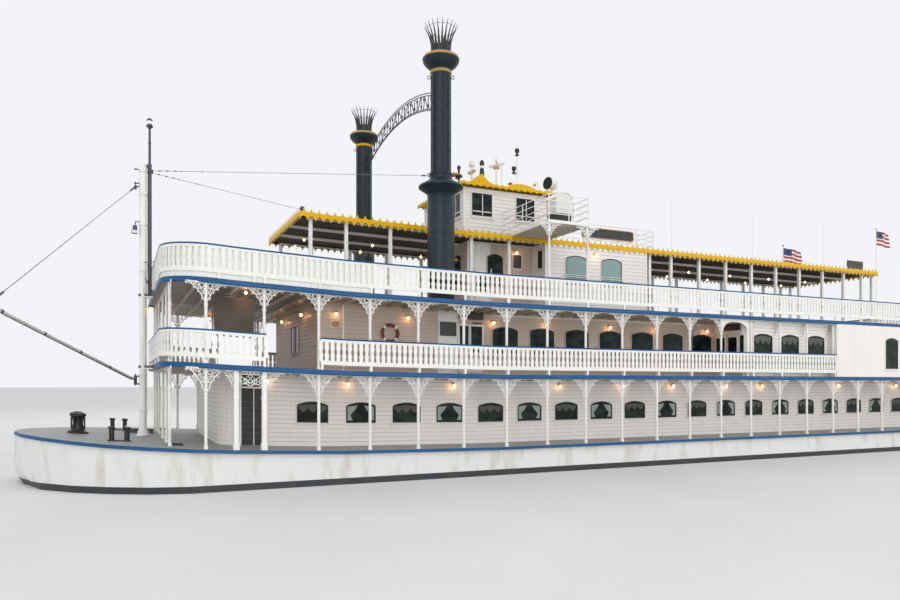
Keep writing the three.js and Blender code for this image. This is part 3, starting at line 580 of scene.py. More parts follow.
def plain_metal(name, colour, rough, metal=0.6):
    made = Finish(name, Metallic=metal)
    spots = made.ramp(made.noise(24.0, 4.0), 0.4, 0.7)
    made.set(Base_Color=made.blend(spots, colour, darker(colour, 0.7)))
    made.set(Roughness=made.ramp(spots, 0.0, 1.0, rough, rough + 0.2))
    return made.bump(made.noise(140.0), 0.1)


def glass_painted_shade():
    """Window panes, opaque and painted near black for the shade of the unlit cabin behind them, in soft
    patches of dark green.
    """
    made = Finish("window_glass", Roughness=0.12, Specular_IOR_Level=0.18, Coat_Weight=0.05)
    inside = made.ramp(made.noise(3.2, 2.0, (1.0, 1.0, 2.2)), 0.42, 0.66)
    # Painted shade: the panes' dark colour stands for the unlit rooms behind the glass
    made.set(Base_Color=made.blend(inside, (0.004, 0.009, 0.008), (0.018, 0.034, 0.032)))
    return made.bump(made.noise(1.6, 1.0), 0.05, 0.01)


def drawn_blind():
    """Pale green blinds close behind the glass, in narrow slats with painted shade between them."""
    made = Finish("window_blind", Roughness=0.3, Coat_Weight=0.2)
    slats = made.bands(13.0, "Z", 0.0)
    # The slats' light and dark bands are painted shade between the slats
    made.set(Base_Color=made.blend(slats, (0.10, 0.19, 0.175), (0.25, 0.39, 0.36)))
    return made.bump(slats, 0.2)


def glowing(name, colour, strength):
    made = Finish(name, Base_Color=(*colour, 1.0), Emission_Color=(*colour, 1.0), Roughness=0.3)
    made.set(Emission_Strength=made.ramp(made.noise(30.0), 0.3, 0.7, strength * 0.8, strength * 1.2))
    return made.paint


def deck_finish():
    """Grey deck paint above, blue on the edge and warm beige below, the beige darkened with painted shade."""
    made = Finish("deck_finish")
    facing = made.upwards()
    planks = made.bands(1.6, "Y", 0.3)
    stains = made.ramp(made.noise(1.4, 6.0), 0.35, 0.7)
    above = made.blend(stains, (0.27, 0.28, 0.28), (0.36, 0.36, 0.34))
    above = made.blend(made.ramp(planks, 0.0, 0.06), (0.12, 0.12, 0.12), above)
    # Under the decks: beige ceiling paint, darkened to add painted shade
    below = made.blend(stains, (0.33, 0.275, 0.21), (0.26, 0.215, 0.16))
    side = made.blend(stains, BLUE, darker(BLUE, 0.85))
    shade = made.blend(made.ramp(facing, 0.5, 0.51), side, above)
    made.set(Base_Color=made.blend(made.ramp(facing, -0.51, -0.5, 1.0, 0.0), shade, below))
    made.set(Roughness=made.ramp(stains, 0.0, 1.0, 0.45, 0.65))
    return made.bump(made.noise(60.0), 0.15)


def hull_finish():
    """White topsides with rust at the scuffs, over a dark bottom below the boot top."""
    made = Finish("hull_finish")
    height = out(made.node("ShaderNodeSeparateXYZ", {"Vector": made.place}), "Z")
    stains = made.ramp(made.noise(2.4, 6.0, (2.0, 2.0, 0.5)), 0.52, 0.8, 0.0, 0.6)
    topside = made.blend(stains, (0.72, 0.72, 0.70), (0.38, 0.30, 0.22))
    bottom = made.blend(stains, (0.025, 0.03, 0.035), (0.07, 0.05, 0.04))
    made.set(Base_Color=made.blend(made.ramp(height, 0.86, 0.865), bottom, topside))
    made.set(Roughness=made.ramp(stains, 0.0, 0.6, 0.4, 0.7))
    return made.bump(made.noise(30.0), 0.15)


def ribbed_sheet():
    """Corrugated sheet, grey with age above, and dark brown below for painted shade under the canopy."""
    made = Finish("ribbed_sheet")
    facing = made.upwards()
    age = made.ramp(made.noise(3.0, 5.0, (0.6, 3.0, 1.0)), 0.35, 0.7)
    above = made.blend(age, (0.36, 0.36, 0.35), (0.24, 0.23, 0.21))
    # The underside's dark brown is painted shade
    below = made.blend(age, (0.060, 0.045, 0.030), (0.042, 0.032, 0.022))
    made.set(Base_Color=made.blend(made.ramp(facing, 0.0, 0.01), below, above))
    made.set(Roughness=made.ramp(age, 0.0, 1.0, 0.66, 0.8))
    return made.bump(made.noise(80.0), 0.1)


def woven(name, colour, shadow):
    """Cloth with a plain weave and soft folds of shade."""
    made = Finish(name, Roughness=0.85, Sheen_Weight=0.2)
    made.set(Base_Color=made.blend(made.ramp(made.noise(3.0, 4.0), 0.35, 0.7), colour, shadow))
    threads = made.node("ShaderNodeTexVoronoi", {"Vector": made.place, "Scale": 260.0})
    return made.bump(out(threads, "Distance"), 0.25, 0.001)


white = gloss_paint("white_gloss", (0.80, 0.785, 0.745), GRIME, streaks=0.18)
wall_white = gloss_paint("wall_white", (0.80, 0.77, 0.735), GRIME, 0.5, 0.08)
# Painted shade: the cabins' white boards darkened and warmed to cream where they stand under the decks and
# canopy
wall_painted_shade = gloss_paint("wall_painted_shade", (0.58, 0.48, 0.40), (0.40, 0.32, 0.25), 0.5, 0.1, shine=0.3)
blue = gloss_paint("blue_gloss", BLUE, (0.03, 0.09, 0.17), coat_share=0.04, shine=0.2)
yellow = gloss_paint("yellow_gloss", (0.76, 0.435, 0.002), (0.52, 0.29, 0.02), coat_share=0.04, shine=0.2)
beige = gloss_paint("beige_beam", (0.52, 0.46, 0.37), (0.28, 0.24, 0.18), 0.55)
stack_paint = gloss_paint("stack_blue_grey", (0.009, 0.02, 0.026), (0.03, 0.038, 0.042), 0.42, 0.5, 0.05,
                          shine=0.3)
black = gloss_paint("black_iron", (0.012, 0.013, 0.015), (0.05, 0.045, 0.04), 0.5)
gilt = gloss_paint("gilt", (0.52, 0.33, 0.13), (0.26, 0.16, 0.08), 0.38, metal=0.35)
mast_grey = gloss_paint("mast_grey", (0.055, 0.062, 0.072), (0.11, 0.10, 0.09), 0.5)
wheel_red = gloss_paint("wheel_red", (0.42, 0.022, 0.014), (0.13, 0.035, 0.025), 0.5, 0.6)
bucket_wood = gloss_paint("bucket_boards", (0.36, 0.03, 0.02), (0.09, 0.045, 0.03), 0.7, 0.8)
signal_red = gloss_paint("signal_red", (0.52, 0.02, 0.015), (0.25, 0.03, 0.02))
# Darker copies of the wall paints for the boards' joint grooves: painted shade in the grooves
groove_painted_shade = gloss_paint("board_groove_painted_shade", (0.56, 0.53, 0.50), GRIME, 0.6)
dim_groove_painted_shade = gloss_paint("board_groove_dim_painted_shade", (0.46, 0.38, 0.315), GRIME, 0.6)
shade_pale = gloss_paint("window_shade", (0.30, 0.36, 0.33), (0.16, 0.2, 0.18), 0.6)
shade_lace = gloss_paint("window_lace", (0.075, 0.07, 0.06), (0.04, 0.04, 0.035), 0.6)
spar_paint = gloss_paint("spar_paint", (0.60, 0.58, 0.53), (0.30, 0.28, 0.24), 0.5)
ring_red = gloss_paint("life_ring_red", (0.20, 0.018, 0.016), (0.09, 0.02, 0.018), 0.55)
plaque_dark = gloss_paint("blank_plaque", (0.035, 0.03, 0.026), (0.06, 0.05, 0.04))
door_brown = gloss_paint("varnished_wood", (0.22, 0.085, 0.03), (0.10, 0.04, 0.02), 0.35, coat_share=0.4)
steel = plain_metal("steel", (0.32, 0.32, 0.32), 0.4)
wire = plain_metal("wire_rope", (0.22, 0.22, 0.22), 0.5)
brass = plain_metal("brass", (0.60, 0.42, 0.16), 0.3, 0.9)
glass = glass_painted_shade()
blind = drawn_blind()
lamp_white = glowing("lamp_glass", (0.95, 0.93, 0.88), 0.4)
bulb_glow = glowing("lit_bulb", (1.0, 0.62, 0.26), 7.0)
deck_paint = deck_finish()
hull_paint = hull_finish()
sheet_metal = ribbed_sheet()


# Camera, floor and light

CAMERA_PLACE = (-1.31, -30.44, 5.03)
CAMERA_WAY = (0.421, 0.907, 0.0)
CAMERA_LENS = 28.8
CAMERA_SHIFT = 0.0933
FLOOR_HALF = 400.0


def make_camera():
    lens = bpy.data.cameras.new("camera")
    lens.lens = CAMERA_LENS
    lens.shift_y = CAMERA_SHIFT
    lens.clip_end = 500.0
    camera = bpy.data.objects.new("camera", lens)
    camera.location = model_point(*CAMERA_PLACE)
    camera.rotation_euler = Vector(CAMERA_WAY).to_track_quat("-Z", "Y").to_euler()
    bpy.context.scene.collection.objects.link(camera)
    bpy.context.scene.camera = camera


def make_floor():
    pale = Finish("pale_floor", Roughness=0.8)
    tone = pale.ramp(pale.noise(0.4, 4.0), 0.3, 0.7)
    pale.set(Base_Color=pale.blend(tone, (0.66, 0.66, 0.65), (0.70, 0.70, 0.69)))
    mesh = bpy.data.meshes.new("floor")
    level = WATERLINE * MODEL_SCALE
    corners = [(x * FLOOR_HALF, y * FLOOR_HALF, level) for x, y in ((-1, -1), (1, -1), (1, 1), (-1, 1))]
    mesh.from_pydata(corners, [], [(0, 1, 2, 3)])
    mesh.materials.append(pale.paint)
    floor = bpy.data.objects.new("floor", mesh)
    bpy.context.scene.collection.objects.link(floor)


def area_light(name, place, target, size, power, height=None, spread=math.pi):
    light = bpy.data.lights.new(name, "AREA")
    light.size = size
    if height:
        light.shape = "RECTANGLE"
        light.size_y = height
    light.energy = power
    light.spread = spread
    lamp = bpy.data.objects.new(name, light)
    lamp.location = Vector(place)
    lamp.rotation_euler = (Vector(target) - Vector(place)).to_track_quat("-Z", "Y").to_euler()
    bpy.context.scene.collection.objects.link(lamp)


def make_lights():
    bpy.context.scene.view_settings.view_transform = "Standard"
    world = bpy.data.worlds.new("soft_sky")
    world.use_nodes = True
    sky = world.node_tree.nodes["Background"]
    sky.inputs["Color"].default_value = (0.94, 0.95, 0.98, 1.0)
    sky.inputs["Strength"].default_value = 0.95
    bpy.context.scene.world = world
    area_light("key", (-22, -26, 24), (-3, 0, 3), 22.0, 2500.0)
    area_light("fill", (24, -24, 16), (4, 0, 3), 18.0, 1400.0)
    area_light("low", (0, -30, 4.6), (0, 0, 2.4), 44.0, 270.0, 3.0, math.radians(50))
    area_light("back", (6, 30, 22), (0, 0, 3), 20.0, 2300.0)


make_camera()
make_floor()
make_lights()


# Deck edges and rails

CORNER_STEPS = 8
# Profiles as (out, up) from a path on the deck
FASCIA = [
    (-0.05, -0.165), (-0.012, -0.165), (-0.002, -0.135), (-0.002, -0.02), (-0.012, 0.012), (-0.05, 0.012),
]
# A path's end stops this short of the next one's face
EDGE_JOINT = 0.004


def bow_path(aft, inset, height):
    """Round the fore end of an upper deck, from starboard to port; out of the boat is on the right."""
    half = DECK_HALF - inset
    radius = DECK_CORNER - inset
    middle = DECK_FRONT + DECK_CORNER
    turn = round_about(CORNER_STEPS, math.pi / 2)[1:-1]
    path = [(s, half) for s in reversed(run(middle, aft))]
    path += [(middle - radius * sin, half - radius + radius * cos) for cos, sin in turn]
    path += [(middle - radius, half - radius), (middle - radius, radius - half)]
    path += [(middle - radius * cos, radius - half - radius * sin) for cos, sin in turn]
    path += [(s, -half) for s in run(middle, aft)]
    return [(s, y, height) for s, y in path]


def side_path(sign, start, end, height):
    """Along the rail of one side, with sign -1 for port; out of the boat is on the right."""
    return [(s, sign * RAIL_SIDE, height) for s in run(start, end)[::-sign]]


def deck_edges():
    end = DECK_HALF - EDGE_JOINT
    for name, deck in (("second", SECOND_DECK), ("third", THIRD_DECK)):
        edge = Shape().sweep(bow_path(DECK_AFT - EDGE_JOINT, 0.0, deck), FASCIA)
        edge.sweep([(DECK_AFT, -end, deck), (DECK_AFT, end, deck)], FASCIA)
        build(name + "_deck_edge", edge, [blue], slot="blue_trim")


BALUSTER_PITCH = BAY / 9
BALUSTER_FOOT = 0.3
BALUSTER_HEAD = 1.0
# Half width of a sawn board at each share of its height
BALUSTER_OUTLINE = [
    (0.0, 0.094), (0.05, 0.07), (0.16, 0.060), (0.26, 0.070), (0.31, 0.080), (0.38, 0.060), (0.48, 0.040),
    (0.58, 0.058), (0.66, 0.080), (0.72, 0.072), (0.85, 0.062), (0.95, 0.072), (1.0, 0.094),
]
BALUSTER_HALF_DEPTH = 0.013
CAP = [
    (-0.06, 1.065), (0.03, 1.065), (0.034, 1.08), (0.034, 1.105), (0.02, 1.12), (-0.05, 1.12), (-0.06, 1.1),
]
HEAD_BOARD = [(-0.025, 0.985), (0.022, 0.985), (0.022, 1.07), (-0.025, 1.07)]
FOOT_BOARD = [(-0.025, 0.19), (0.024, 0.19), (0.024, 0.31), (0.012, 0.33), (-0.025, 0.33)]
RAIL_FOOT = (0.08, 0.05, 0.2)


def baluster():
    height = BALUSTER_HEAD - BALUSTER_FOOT
    right = [(half, BALUSTER_FOOT + share * height) for share, half in BALUSTER_OUTLINE]
    outline = right + [(-x, z) for x, z in reversed(right)]
    return Shape().prism(outline, -BALUSTER_HALF_DEPTH, BALUSTER_HALF_DEPTH)


BACKING = [(-0.04, 0.015), (-0.028, 0.015), (-0.028, 1.04), (-0.04, 1.04)]


def rail(name, path, deck, feet, backed=None, joints=()):
    """A rail of sawn boards under a blue cap, on feet; backed is the path of a sheet hung behind it."""
    boards = Shape().sweep(path, HEAD_BOARD).sweep(path, FOOT_BOARD).sweep(path, CAP, 1)
    balusters = along(name, baluster(), path, BALUSTER_PITCH, [white])
    for station, side in joints:
        boards.block((station, side, deck + 0.63), (0.2, 0.05, 0.86))
    for station, side in feet:
        boards.block((station, side, deck + RAIL_FOOT[2] / 2), RAIL_FOOT)
    if backed:
        boards.sweep(backed, BACKING)
    mesh = joined(f"{name}_boards", [mesh_of(name, boards, [white, blue]), balusters])
    settle(f"{name}_boards", mesh, replaces=[name], slot="white_paint")


SECOND_OPENING = (3.24, 5.1)
SECOND_RAIL_AFT = 31.15
THIRD_RAIL_BREAK = 2.9
THIRD_RAIL_AFT = DECK_AFT - 0.06
BACKED_TO = 7.0


def post_stations(start, end):
    count = int((DECK_AFT - FIRST_POST) / BAY) + 1
    return [FIRST_POST + BAY * i for i in range(count) if start < FIRST_POST + BAY * i < end]


def make_rails():
    inset = DECK_HALF - RAIL_SIDE
    sides = (-RAIL_SIDE, RAIL_SIDE)
    front_feet = [(DECK_FRONT + inset, y) for y in (-3.6, -1.2, 1.2, 3.6)]
    fronts = ((SECOND_DECK, "second", SECOND_OPENING[0]), (THIRD_DECK, "third", THIRD_RAIL_BREAK))
    for deck, name, aft in fronts:
        path = bow_path(aft, inset, deck)
        feet = front_feet + [(s, y) for s in (FIRST_POST + 0.4, aft - 0.05) for y in sides]
        backed = path if deck == THIRD_DECK else None
        joints = [(aft, y) for y in sides] if deck == THIRD_DECK else []
        rail(f"{name}_rail_front", path, deck, feet, backed, joints)
    for side, sign in (("port", -1), ("starboard", 1)):
        start = SECOND_OPENING[1]
        feet = [(s, sign * RAIL_SIDE) for s in (*post_stations(start, SECOND_RAIL_AFT), start + 0.05)]
        rail(f"second_rail_{side}", side_path(sign, start, SECOND_RAIL_AFT, SECOND_DECK), SECOND_DECK, feet)
        start = THIRD_RAIL_BREAK
        feet = [(s, sign * RAIL_SIDE) for s in post_stations(start, THIRD_RAIL_AFT)]
        path = side_path(sign, start + 0.01, THIRD_RAIL_AFT, THIRD_DECK)
        rail(f"third_rail_{side}", path, THIRD_DECK, feet, side_path(sign, start, BACKED_TO, THIRD_DECK))
    aft, end = THIRD_RAIL_AFT + 0.026, DECK_HALF - 0.05
    feet = [(aft, y) for y in (-4.8, -2.4, 0, 2.4, 4.8)]
    rail("third_rail_aft", [(aft, -end, THIRD_DECK), (aft, end, THIRD_DECK)], THIRD_DECK, feet)


deck_edges()
make_rails()


# Deck posts with sawn fretwork, and the beams under the decks

FRET_WIDTH = 0.022
FRET_DEPTH = 0.024
BRACKET_REACH = 0.58
BRACKET_DROP = 0.6
POST_RADIUS = 0.052
CEILING = 2.65
# Rings of the fretwork: across, down, radius
FRET_RINGS = [
    (0.128, 0.118, 0.072), (0.262, 0.088, 0.05), (0.365, 0.07, 0.032), (0.105, 0.262, 0.05),
    (0.09, 0.365, 0.03), (0.205, 0.205, 0.034), (0.45, 0.055, 0.02),
]
# Small scrolls outside the edge and at its two ends
FRET_CURLS = [(0.105, 0.53, 0.036), (0.6, 0.07, 0.034), (0.235, 0.33, 0.024), (0.365, 0.21, 0.024)]
FRET_BEND = (0.2, 0.19)
MAIN_DROP = 0.74
BOARDING_POST = 2.29
FRET_SIDES = 8


def ribbon(shape, points, width=FRET_WIDTH, depth=FRET_DEPTH, closed=False):
    """A flat strip that follows points of (across, height), with its depth across Y."""
    count = len(points)
    rings = []
    for i, (x, z) in enumerate(points):
        before = points[i - 1] if i or closed else (x, z)
        after = points[(i + 1) % count] if i < count - 1 or closed else (x, z)
        way = Vector((after[0] - before[0], after[1] - before[1])).normalized()
        dx, dz = -way.y * width / 2, way.x * width / 2
        rings.append([
            (x + dx, -depth / 2, z + dz), (x + dx, depth / 2, z + dz),
            (x - dx, depth / 2, z - dz), (x - dx, -depth / 2, z - dz),
        ])
    return shape.rings(rings, closed=closed)


def circle(x, z, radius, sides=FRET_SIDES, start=0.0, turn=TAU):
    return [(x + radius * c, z + radius * s) for c, s in round_about(sides, turn, start)]


def fret_half(reach=BRACKET_REACH, drop=BRACKET_DROP):
    """One side of a bracket, from the post outwards: its edge, top strip, rings and scrolls."""
    half = Shape()
    scale_x, scale_z = reach / BRACKET_REACH, drop / BRACKET_DROP
    bend_x, bend_z = FRET_BEND[0] * scale_x, FRET_BEND[1] * scale_z
    edge = []
    for i in range(7):
        t = i / 6
        a, b, c = (1 - t) ** 2, 2 * t * (1 - t), t ** 2
        edge.append((a * reach + b * bend_x + c * (POST_RADIUS + 0.01), -(a * 0.03 + b * bend_z + c * drop)))
    ribbon(half, edge, 0.034)
    ribbon(half, [(POST_RADIUS, -0.018), (reach + 0.04, -0.018)], 0.034)
    for rings, width in ((FRET_RINGS, 0.024), (FRET_CURLS, 0.022)):
        for x, z, radius in rings:
            points = circle(x * scale_x, -z * scale_z, radius * min(scale_x, scale_z))
            ribbon(half, points, width, closed=True)
    return half


def turned_half(half):
    """The other side of a bracket, mirrored across the post."""
    return half.mirrored(lambda x, y, z: (-x, y, z))


def bracket(reach=BRACKET_REACH, drop=BRACKET_DROP):
    half = fret_half(reach, drop)
    return Shape().join(half).join(turned_half(half))


def deck_post():
    """A slender post with a foot block, a collar under the bracket and a head block."""
    collar, top = POST_RADIUS * 1.35, CEILING
    post = Shape().block((0, 0, 0.05), (0.12, 0.12, 0.1))
    post.lathe([
        (POST_RADIUS * 1.2, 0.1), (POST_RADIUS, 0.14), (POST_RADIUS, top - 0.8), (collar, top - 0.77),
        (collar, top - 0.72), (POST_RADIUS, top - 0.69), (POST_RADIUS, top - 0.06),
    ], sides=8, phase=TAU / 16)
    return post.block((0, 0, top - 0.03), (0.11, 0.11, 0.06))


def post_with_bracket(drop=BRACKET_DROP):
    return deck_post().join(bracket(drop=drop), move=(0, 0, CEILING))


def turned(shape, angle):
    return Shape().join(shape, turn=angle)


# Foot, head and width of each length of a thick post
HEAVY_POST = [(0, 0.22, 0.2), (0.22, 0.26, 0.17), (0.26, 1.7, 0.15), (1.7, 1.76, 0.19), (1.76, 2.65, 0.15)]


def heavy_post():
    """One of the two thick square posts of the main deck's forward bay, with moulded head and foot."""
    post = Shape()
    for low, high, width in HEAVY_POST:
        post.block((0, 0, (low + high) / 2), (width, width, high - low))
    return post


# Rings of a panel: share of its half length, height, radius
PANEL_RINGS = [
    (0.16, -0.08, 0.05), (0.5, -0.08, 0.05), (0.84, -0.08, 0.05), (0.2, -0.28, 0.06),
    (0.72, -0.3, 0.055), (0.45, -0.39, 0.045), (0.86, -0.46, 0.04), (0.2, -0.44, 0.04),
]


def fret_panel(length):
    """A panel of scrollwork that fills the top of a bay, deeper at its ends."""
    panel = Shape()
    half = length / 2
    for z in (-0.02, -0.14):
        ribbon(panel, [(-half, z), (half, z)], 0.03)
    for side in (-1, 1):
        end, reach = side * (half - 0.012), side * half
        ribbon(panel, [(end, -0.02), (end, -0.56)], 0.026)
        ribbon(panel, [(reach, -0.56), (reach * 0.72, -0.47), (reach * 0.4, -0.45), (0.0, -0.54)], 0.03)
        ribbon(panel, [(0.0, -0.14), (reach * 0.45, -0.3), (reach * 0.98, -0.16)], 0.026)
        ribbon(panel, [(0.0, -0.42), (reach * 0.45, -0.3), (reach * 0.98, -0.42)], 0.026)
        for share, z, radius in PANEL_RINGS:
            ribbon(panel, circle(reach * share, z, radius), 0.022, closed=True)
    return panel


def head_beam(deck, stations, sides):
    """A square beam under a deck, over the posts' heads."""
    return Shape().box(stations, sides, (deck + CEILING - 0.05, deck + CEILING - 0.002))


def make_arcades():
    paints = [white]
    for side, sign in (("port", -1), ("starboard", 1)):
        y = sign * ARCADE_SIDE
        for deck, name, last in ((MAIN_DECK, "main", DECK_AFT), (SECOND_DECK, "second", LOUNGE_END)):
            stations = post_stations(0, last)
            top = deck + CEILING
            if deck == MAIN_DECK:
                pair = (BOARDING_POST, stations[1])
                free = [(s, y, deck) for s in stations if s != pair[1]]
                meshes = [copies(name, post_with_bracket(MAIN_DROP), free, paints)]
                meshes.append(copies(name, heavy_post(), [(s, y, deck) for s in pair], paints))
                lace = Shape().join(fret_panel(pair[1] - pair[0] - 0.16), move=(sum(pair) / 2, y, top))
                lace.join(turned_half(fret_half(0.45, 0.62)), move=(pair[0] - 0.04, y, top))
                lace.join(fret_half(drop=MAIN_DROP), move=(pair[1] + 0.04, y, top))
                meshes.append(mesh_of(name, lace, paints))
            else:
                free = [(s, y, deck) for s in stations if s < GALLERY_END + 0.5]
                held = [s for s in stations if s >= GALLERY_END + 0.5]
                meshes = [copies(name, post_with_bracket(), free, paints)]
                meshes.append(copies(name, deck_post(), [(s, y, deck) for s in held], paints))
                corbel = Shape().join(fret_half(0.36, 0.6), turn=sign * math.pi / 2)
                meshes.append(copies(name, corbel, [(s, sign * LOUNGE_SIDE, top) for s in held], paints))
            beam = Shape()
            ends = run(DECK_FRONT + 1.0, last)
            for span in zip(ends, ends[1:]):
                beam.join(head_beam(deck, span, (y - 0.05, y + 0.05)))
            meshes.append(mesh_of(name, beam, paints))
            settle(f"{name}_posts_{side}", joined(name, meshes), replaces=[f"{name}_arcade_{side}"],
                   slot="white_paint")
    for deck, name in ((MAIN_DECK, "main"), (SECOND_DECK, "second")):
        across = [(FRONT_POSTS, y, deck, math.pi / 2) for y in (-5.05, -3.4, -1.3, 1.3, 3.4, 5.05)]
        posts = copies(name, post_with_bracket(), across, paints)
        beam = head_beam(deck, (FRONT_POSTS - 0.05, FRONT_POSTS + 0.05), (-5.1, 5.1))
        settle(f"{name}_posts_front", joined(name, [posts, mesh_of(name, beam, paints)]),
               replaces=[f"{name}_arcade_front"], slot="white_paint")


BEAM_PITCH = 0.62
BEAM_SIZE = (0.07, 0.1)
BEAM_LENGTH = 11.4
BEAM_END = 5.86
FIRST_BEAM = 1.1
# Name and deck, the wall that the short beams start from, the cabin's front, and the last beam
BEAMED_DECKS = [
    ("second", SECOND_DECK, MAIN_WALL, 1.9, 43.2),
    ("third", THIRD_DECK, GALLERY_SIDE, 5.5, 25.1),
]


def make_deck_beams():
    """Cross beams under the second and third decks: whole ones at the bow, short ones beside the cabins."""
    width, depth = BEAM_SIZE
    step = (BEAM_PITCH, 0, 0)
    for name, deck, wall, front, last in BEAMED_DECKS:
        height = deck - DECK_DEPTH - depth / 2
        reach = BEAM_END - wall
        whole = int((front - FIRST_BEAM) / BEAM_PITCH) + 1
        lines = [((FIRST_BEAM, 0, height), step, whole, (width, BEAM_LENGTH, depth))]
        first = front + 0.35
        count = int((last - first) / BEAM_PITCH)
        for side in (-1, 1):
            start = (first, side * (wall + reach / 2), height)
            lines.append((start, step, count, (width, reach, depth)))
        settle(f"{name}_deck_beams", rows(name, lines, beige), slot="white_paint")


make_arcades()
make_deck_beams()


# Cabin boards, windows and doors

BOARD_PITCH = 0.165
BOARD_LIP = 0.018
BOARD_BACK = 0.002
BOARD_GROOVE = 0.022


def clapboards(path, low, high):
    """Overlapping boards on a wall, as one closed skin whose joint grooves take paint 1, a darker paint for
    painted shade in the grooves.

    Out of the wall is on the right of the path.
    """
    count = round((high - low) / BOARD_PITCH)
    pitch = (high - low) / count
    profile = []
    for i in range(count):
        top = low + pitch * (i + 1)
        groove = top - BOARD_GROOVE
        profile += [
            (BOARD_LIP, top - pitch), (BOARD_LIP - 0.006, groove), (BOARD_BACK, groove), (BOARD_BACK, top),
        ]
    profile += [(0.0, high), (0.0, low)]
    skin = Shape().sweep([(s, y, 0) for s, y in path], profile)
    for i in range(len(skin.faces) - 2):
        place = i % len(profile)
        # Paint 1 on the groove faces: painted shade
        if place < 4 * count and place % 4 in (1, 2):
            skin.paints[i] = 1
    return skin


def corner_boards(places, heights, width=0.12):
    boards = Shape()
    for s, y in places:
        boards.box((s - width / 2, s + width / 2), (y - width / 2, y + width / 2), heights)
    return boards


HEAD_RISE = 0.09
HEAD_CORNER = 0.1
HEAD_STEPS = 3


def arch_outline(width, bottom, top):
    """A window opening with a low arched head and rounded shoulders, from its bottom left."""
    half = width / 2
    flat = half - HEAD_CORNER
    shoulder = top - HEAD_RISE - HEAD_CORNER
    turn = round_about(HEAD_STEPS, math.pi / 2)
    right = [(flat + HEAD_CORNER * c, shoulder + HEAD_CORNER * s) for c, s in turn]
    shares = [1 - i / HEAD_STEPS for i in range(1, 2 * HEAD_STEPS)]
    crown = [(flat * share, top - HEAD_RISE * share ** 2) for share in shares]
    return [(-half, bottom), (half, bottom), *right, *crown, *[(-x, z) for x, z in reversed(right)]]


def inset_outline(outline, inset, middle):
    """The outline drawn in towards its middle by a fixed amount on each axis."""
    width, height = (max(line) - min(line) for line in zip(*outline))
    across, upright = 1 - 2 * inset / width, 1 - 2 * inset / height
    return [(x * across, middle + (z - middle) * upright) for x, z in outline]


def window(width, bottom, top, arched=True, casing_depth=0.035, sill_depth=0.06):
    """A window that faces -Y: white casing, thin black frame and glass. Paints: white, black, pane."""
    outline = arch_outline(width, bottom, top)
    if not arched:
        outline = [(-width / 2, bottom), (width / 2, bottom), (width / 2, top), (-width / 2, top)]
    middle = (bottom + top) / 2
    frame_line = inset_outline(outline, 0.04, middle)
    made = Shape().frame(inset_outline(outline, -0.03, middle), outline, -casing_depth, 0.0)
    made.frame(outline, frame_line, 0.009 - casing_depth, 0.0, 1)
    made.prism(frame_line, -0.012, 0.0, "y", 2)
    reach = width / 2 + 0.08
    return made.box((-reach, reach), (-sill_depth, 0.0), (bottom - 0.09, bottom - 0.045))


# Width, sill and head of each kind of window
SECOND_WINDOW = (1.22, 0.9, 2.04)
FIRST_WINDOW = (1.18, 0.87, 1.66)
TALL_WINDOW = (1.0, 0.43, 2.04)
SQUARE_WINDOW = (0.9, 0.95, 2.04)
TEXAS_WINDOW = (1.18, 1.38, 2.73)
NARROW_WINDOW = (0.8, 1.3, 2.72)
FRONT_WINDOW = (0.5, 0.8, 1.95)
AFTER_DOOR = (0.8, 0.08, 2.05)
AFTER_DOOR_PANE = (0.5, 1.1, 1.85)
SHADE_DEPTH = 0.015


def swags(size):
    """A valance of three drapes across a window's head, close behind the glass."""
    width, bottom, top = size
    half, drop = width / 2 - 0.07, (top - bottom) * 0.3
    outline = [(-half, top - 0.16), (half, top - 0.16)]
    for i in range(19):
        x = half - 2 * half * i / 18
        outline.append((x, top - 0.16 - drop * (0.35 + 0.65 * abs(math.sin(3 * math.pi * i / 18)))))
    outline.insert(1, (0.0, top - 0.1))
    return Shape().prism(outline, -SHADE_DEPTH, -0.004)


def drapes(size):
    """Two curtains drawn back to a window's sides, close behind the glass."""
    width, bottom, top = size
    half, middle = width / 2 - 0.07, (top + bottom) / 2
    made = Shape()
    for side in (-half, half):
        made.prism([
            (side, bottom + 0.1), (side, top - 0.17), (side * 0.25, top - 0.13), (side * 0.45, middle + 0.1),
            (side * 0.8, middle - 0.1), (side * 0.62, bottom + 0.1),
        ], -SHADE_DEPTH, -0.004)
    return made


def on_sides(name, shape, stations, side, deck, paints):
    """The same shape on the port wall, facing out, and on the starboard wall."""
    places = [(s, -side, deck, 0.0) for s in stations] + [(s, side, deck, math.pi) for s in stations]
    return copies(name, shape, places, paints)


GALLERY_WINDOWS = [13.52 + 1.81 * k for k in range(7)]
LOUNGE_WINDOWS = [26.56, 28.36, 30.17]
TALL_WINDOWS = [35.35, 38.95]
SQUARE_WINDOWS = [37.15, 41.4]
MAIN_WINDOWS = [5.28 + BAY * k for k in range(19)]
TEXAS_WINDOWS = [17.8, 19.76]
FORE_TEXAS_WINDOWS = [14.18]
# Lowest and highest of the boards on each deck
MAIN_BOARDS = (MAIN_DECK + 0.01, SECOND_DECK - 0.14)
SECOND_BOARDS = (SECOND_DECK + 0.01, THIRD_DECK - 0.14)
TEXAS_BOARDS = (THIRD_DECK + 0.01, 11.37)
# Walls beside those that the CAD source sets: sides of those along the boat, stations of those across
MAIN_ENDS = (2.0, 2.95, 40.5, 40.63)
GALLERY_FRONT = 5.6
FLUSH_BACK = 43.43
TEXAS_WALL = 2.99
TEXAS_ENDS = (16.14, 21.8, 21.87)
FORE_TEXAS_WALL = 1.86
FORE_TEXAS_FRONT = 12.8
# A board skin stops this short of the wall it meets
WALL_JOINT = 0.06
FLUSH_SEAMS = [31.3 + i * 1.205 for i in range(11)]


def rounded_front(front, side, radius, aft):
    """The path round a cabin's rounded fore end, from starboard to port."""
    turn = round_about(6, math.pi / 2)
    path = [(aft, side), *((front + radius - radius * s, side - radius + radius * c) for c, s in turn)]
    return path + [(s, -y) for s, y in reversed(path)]


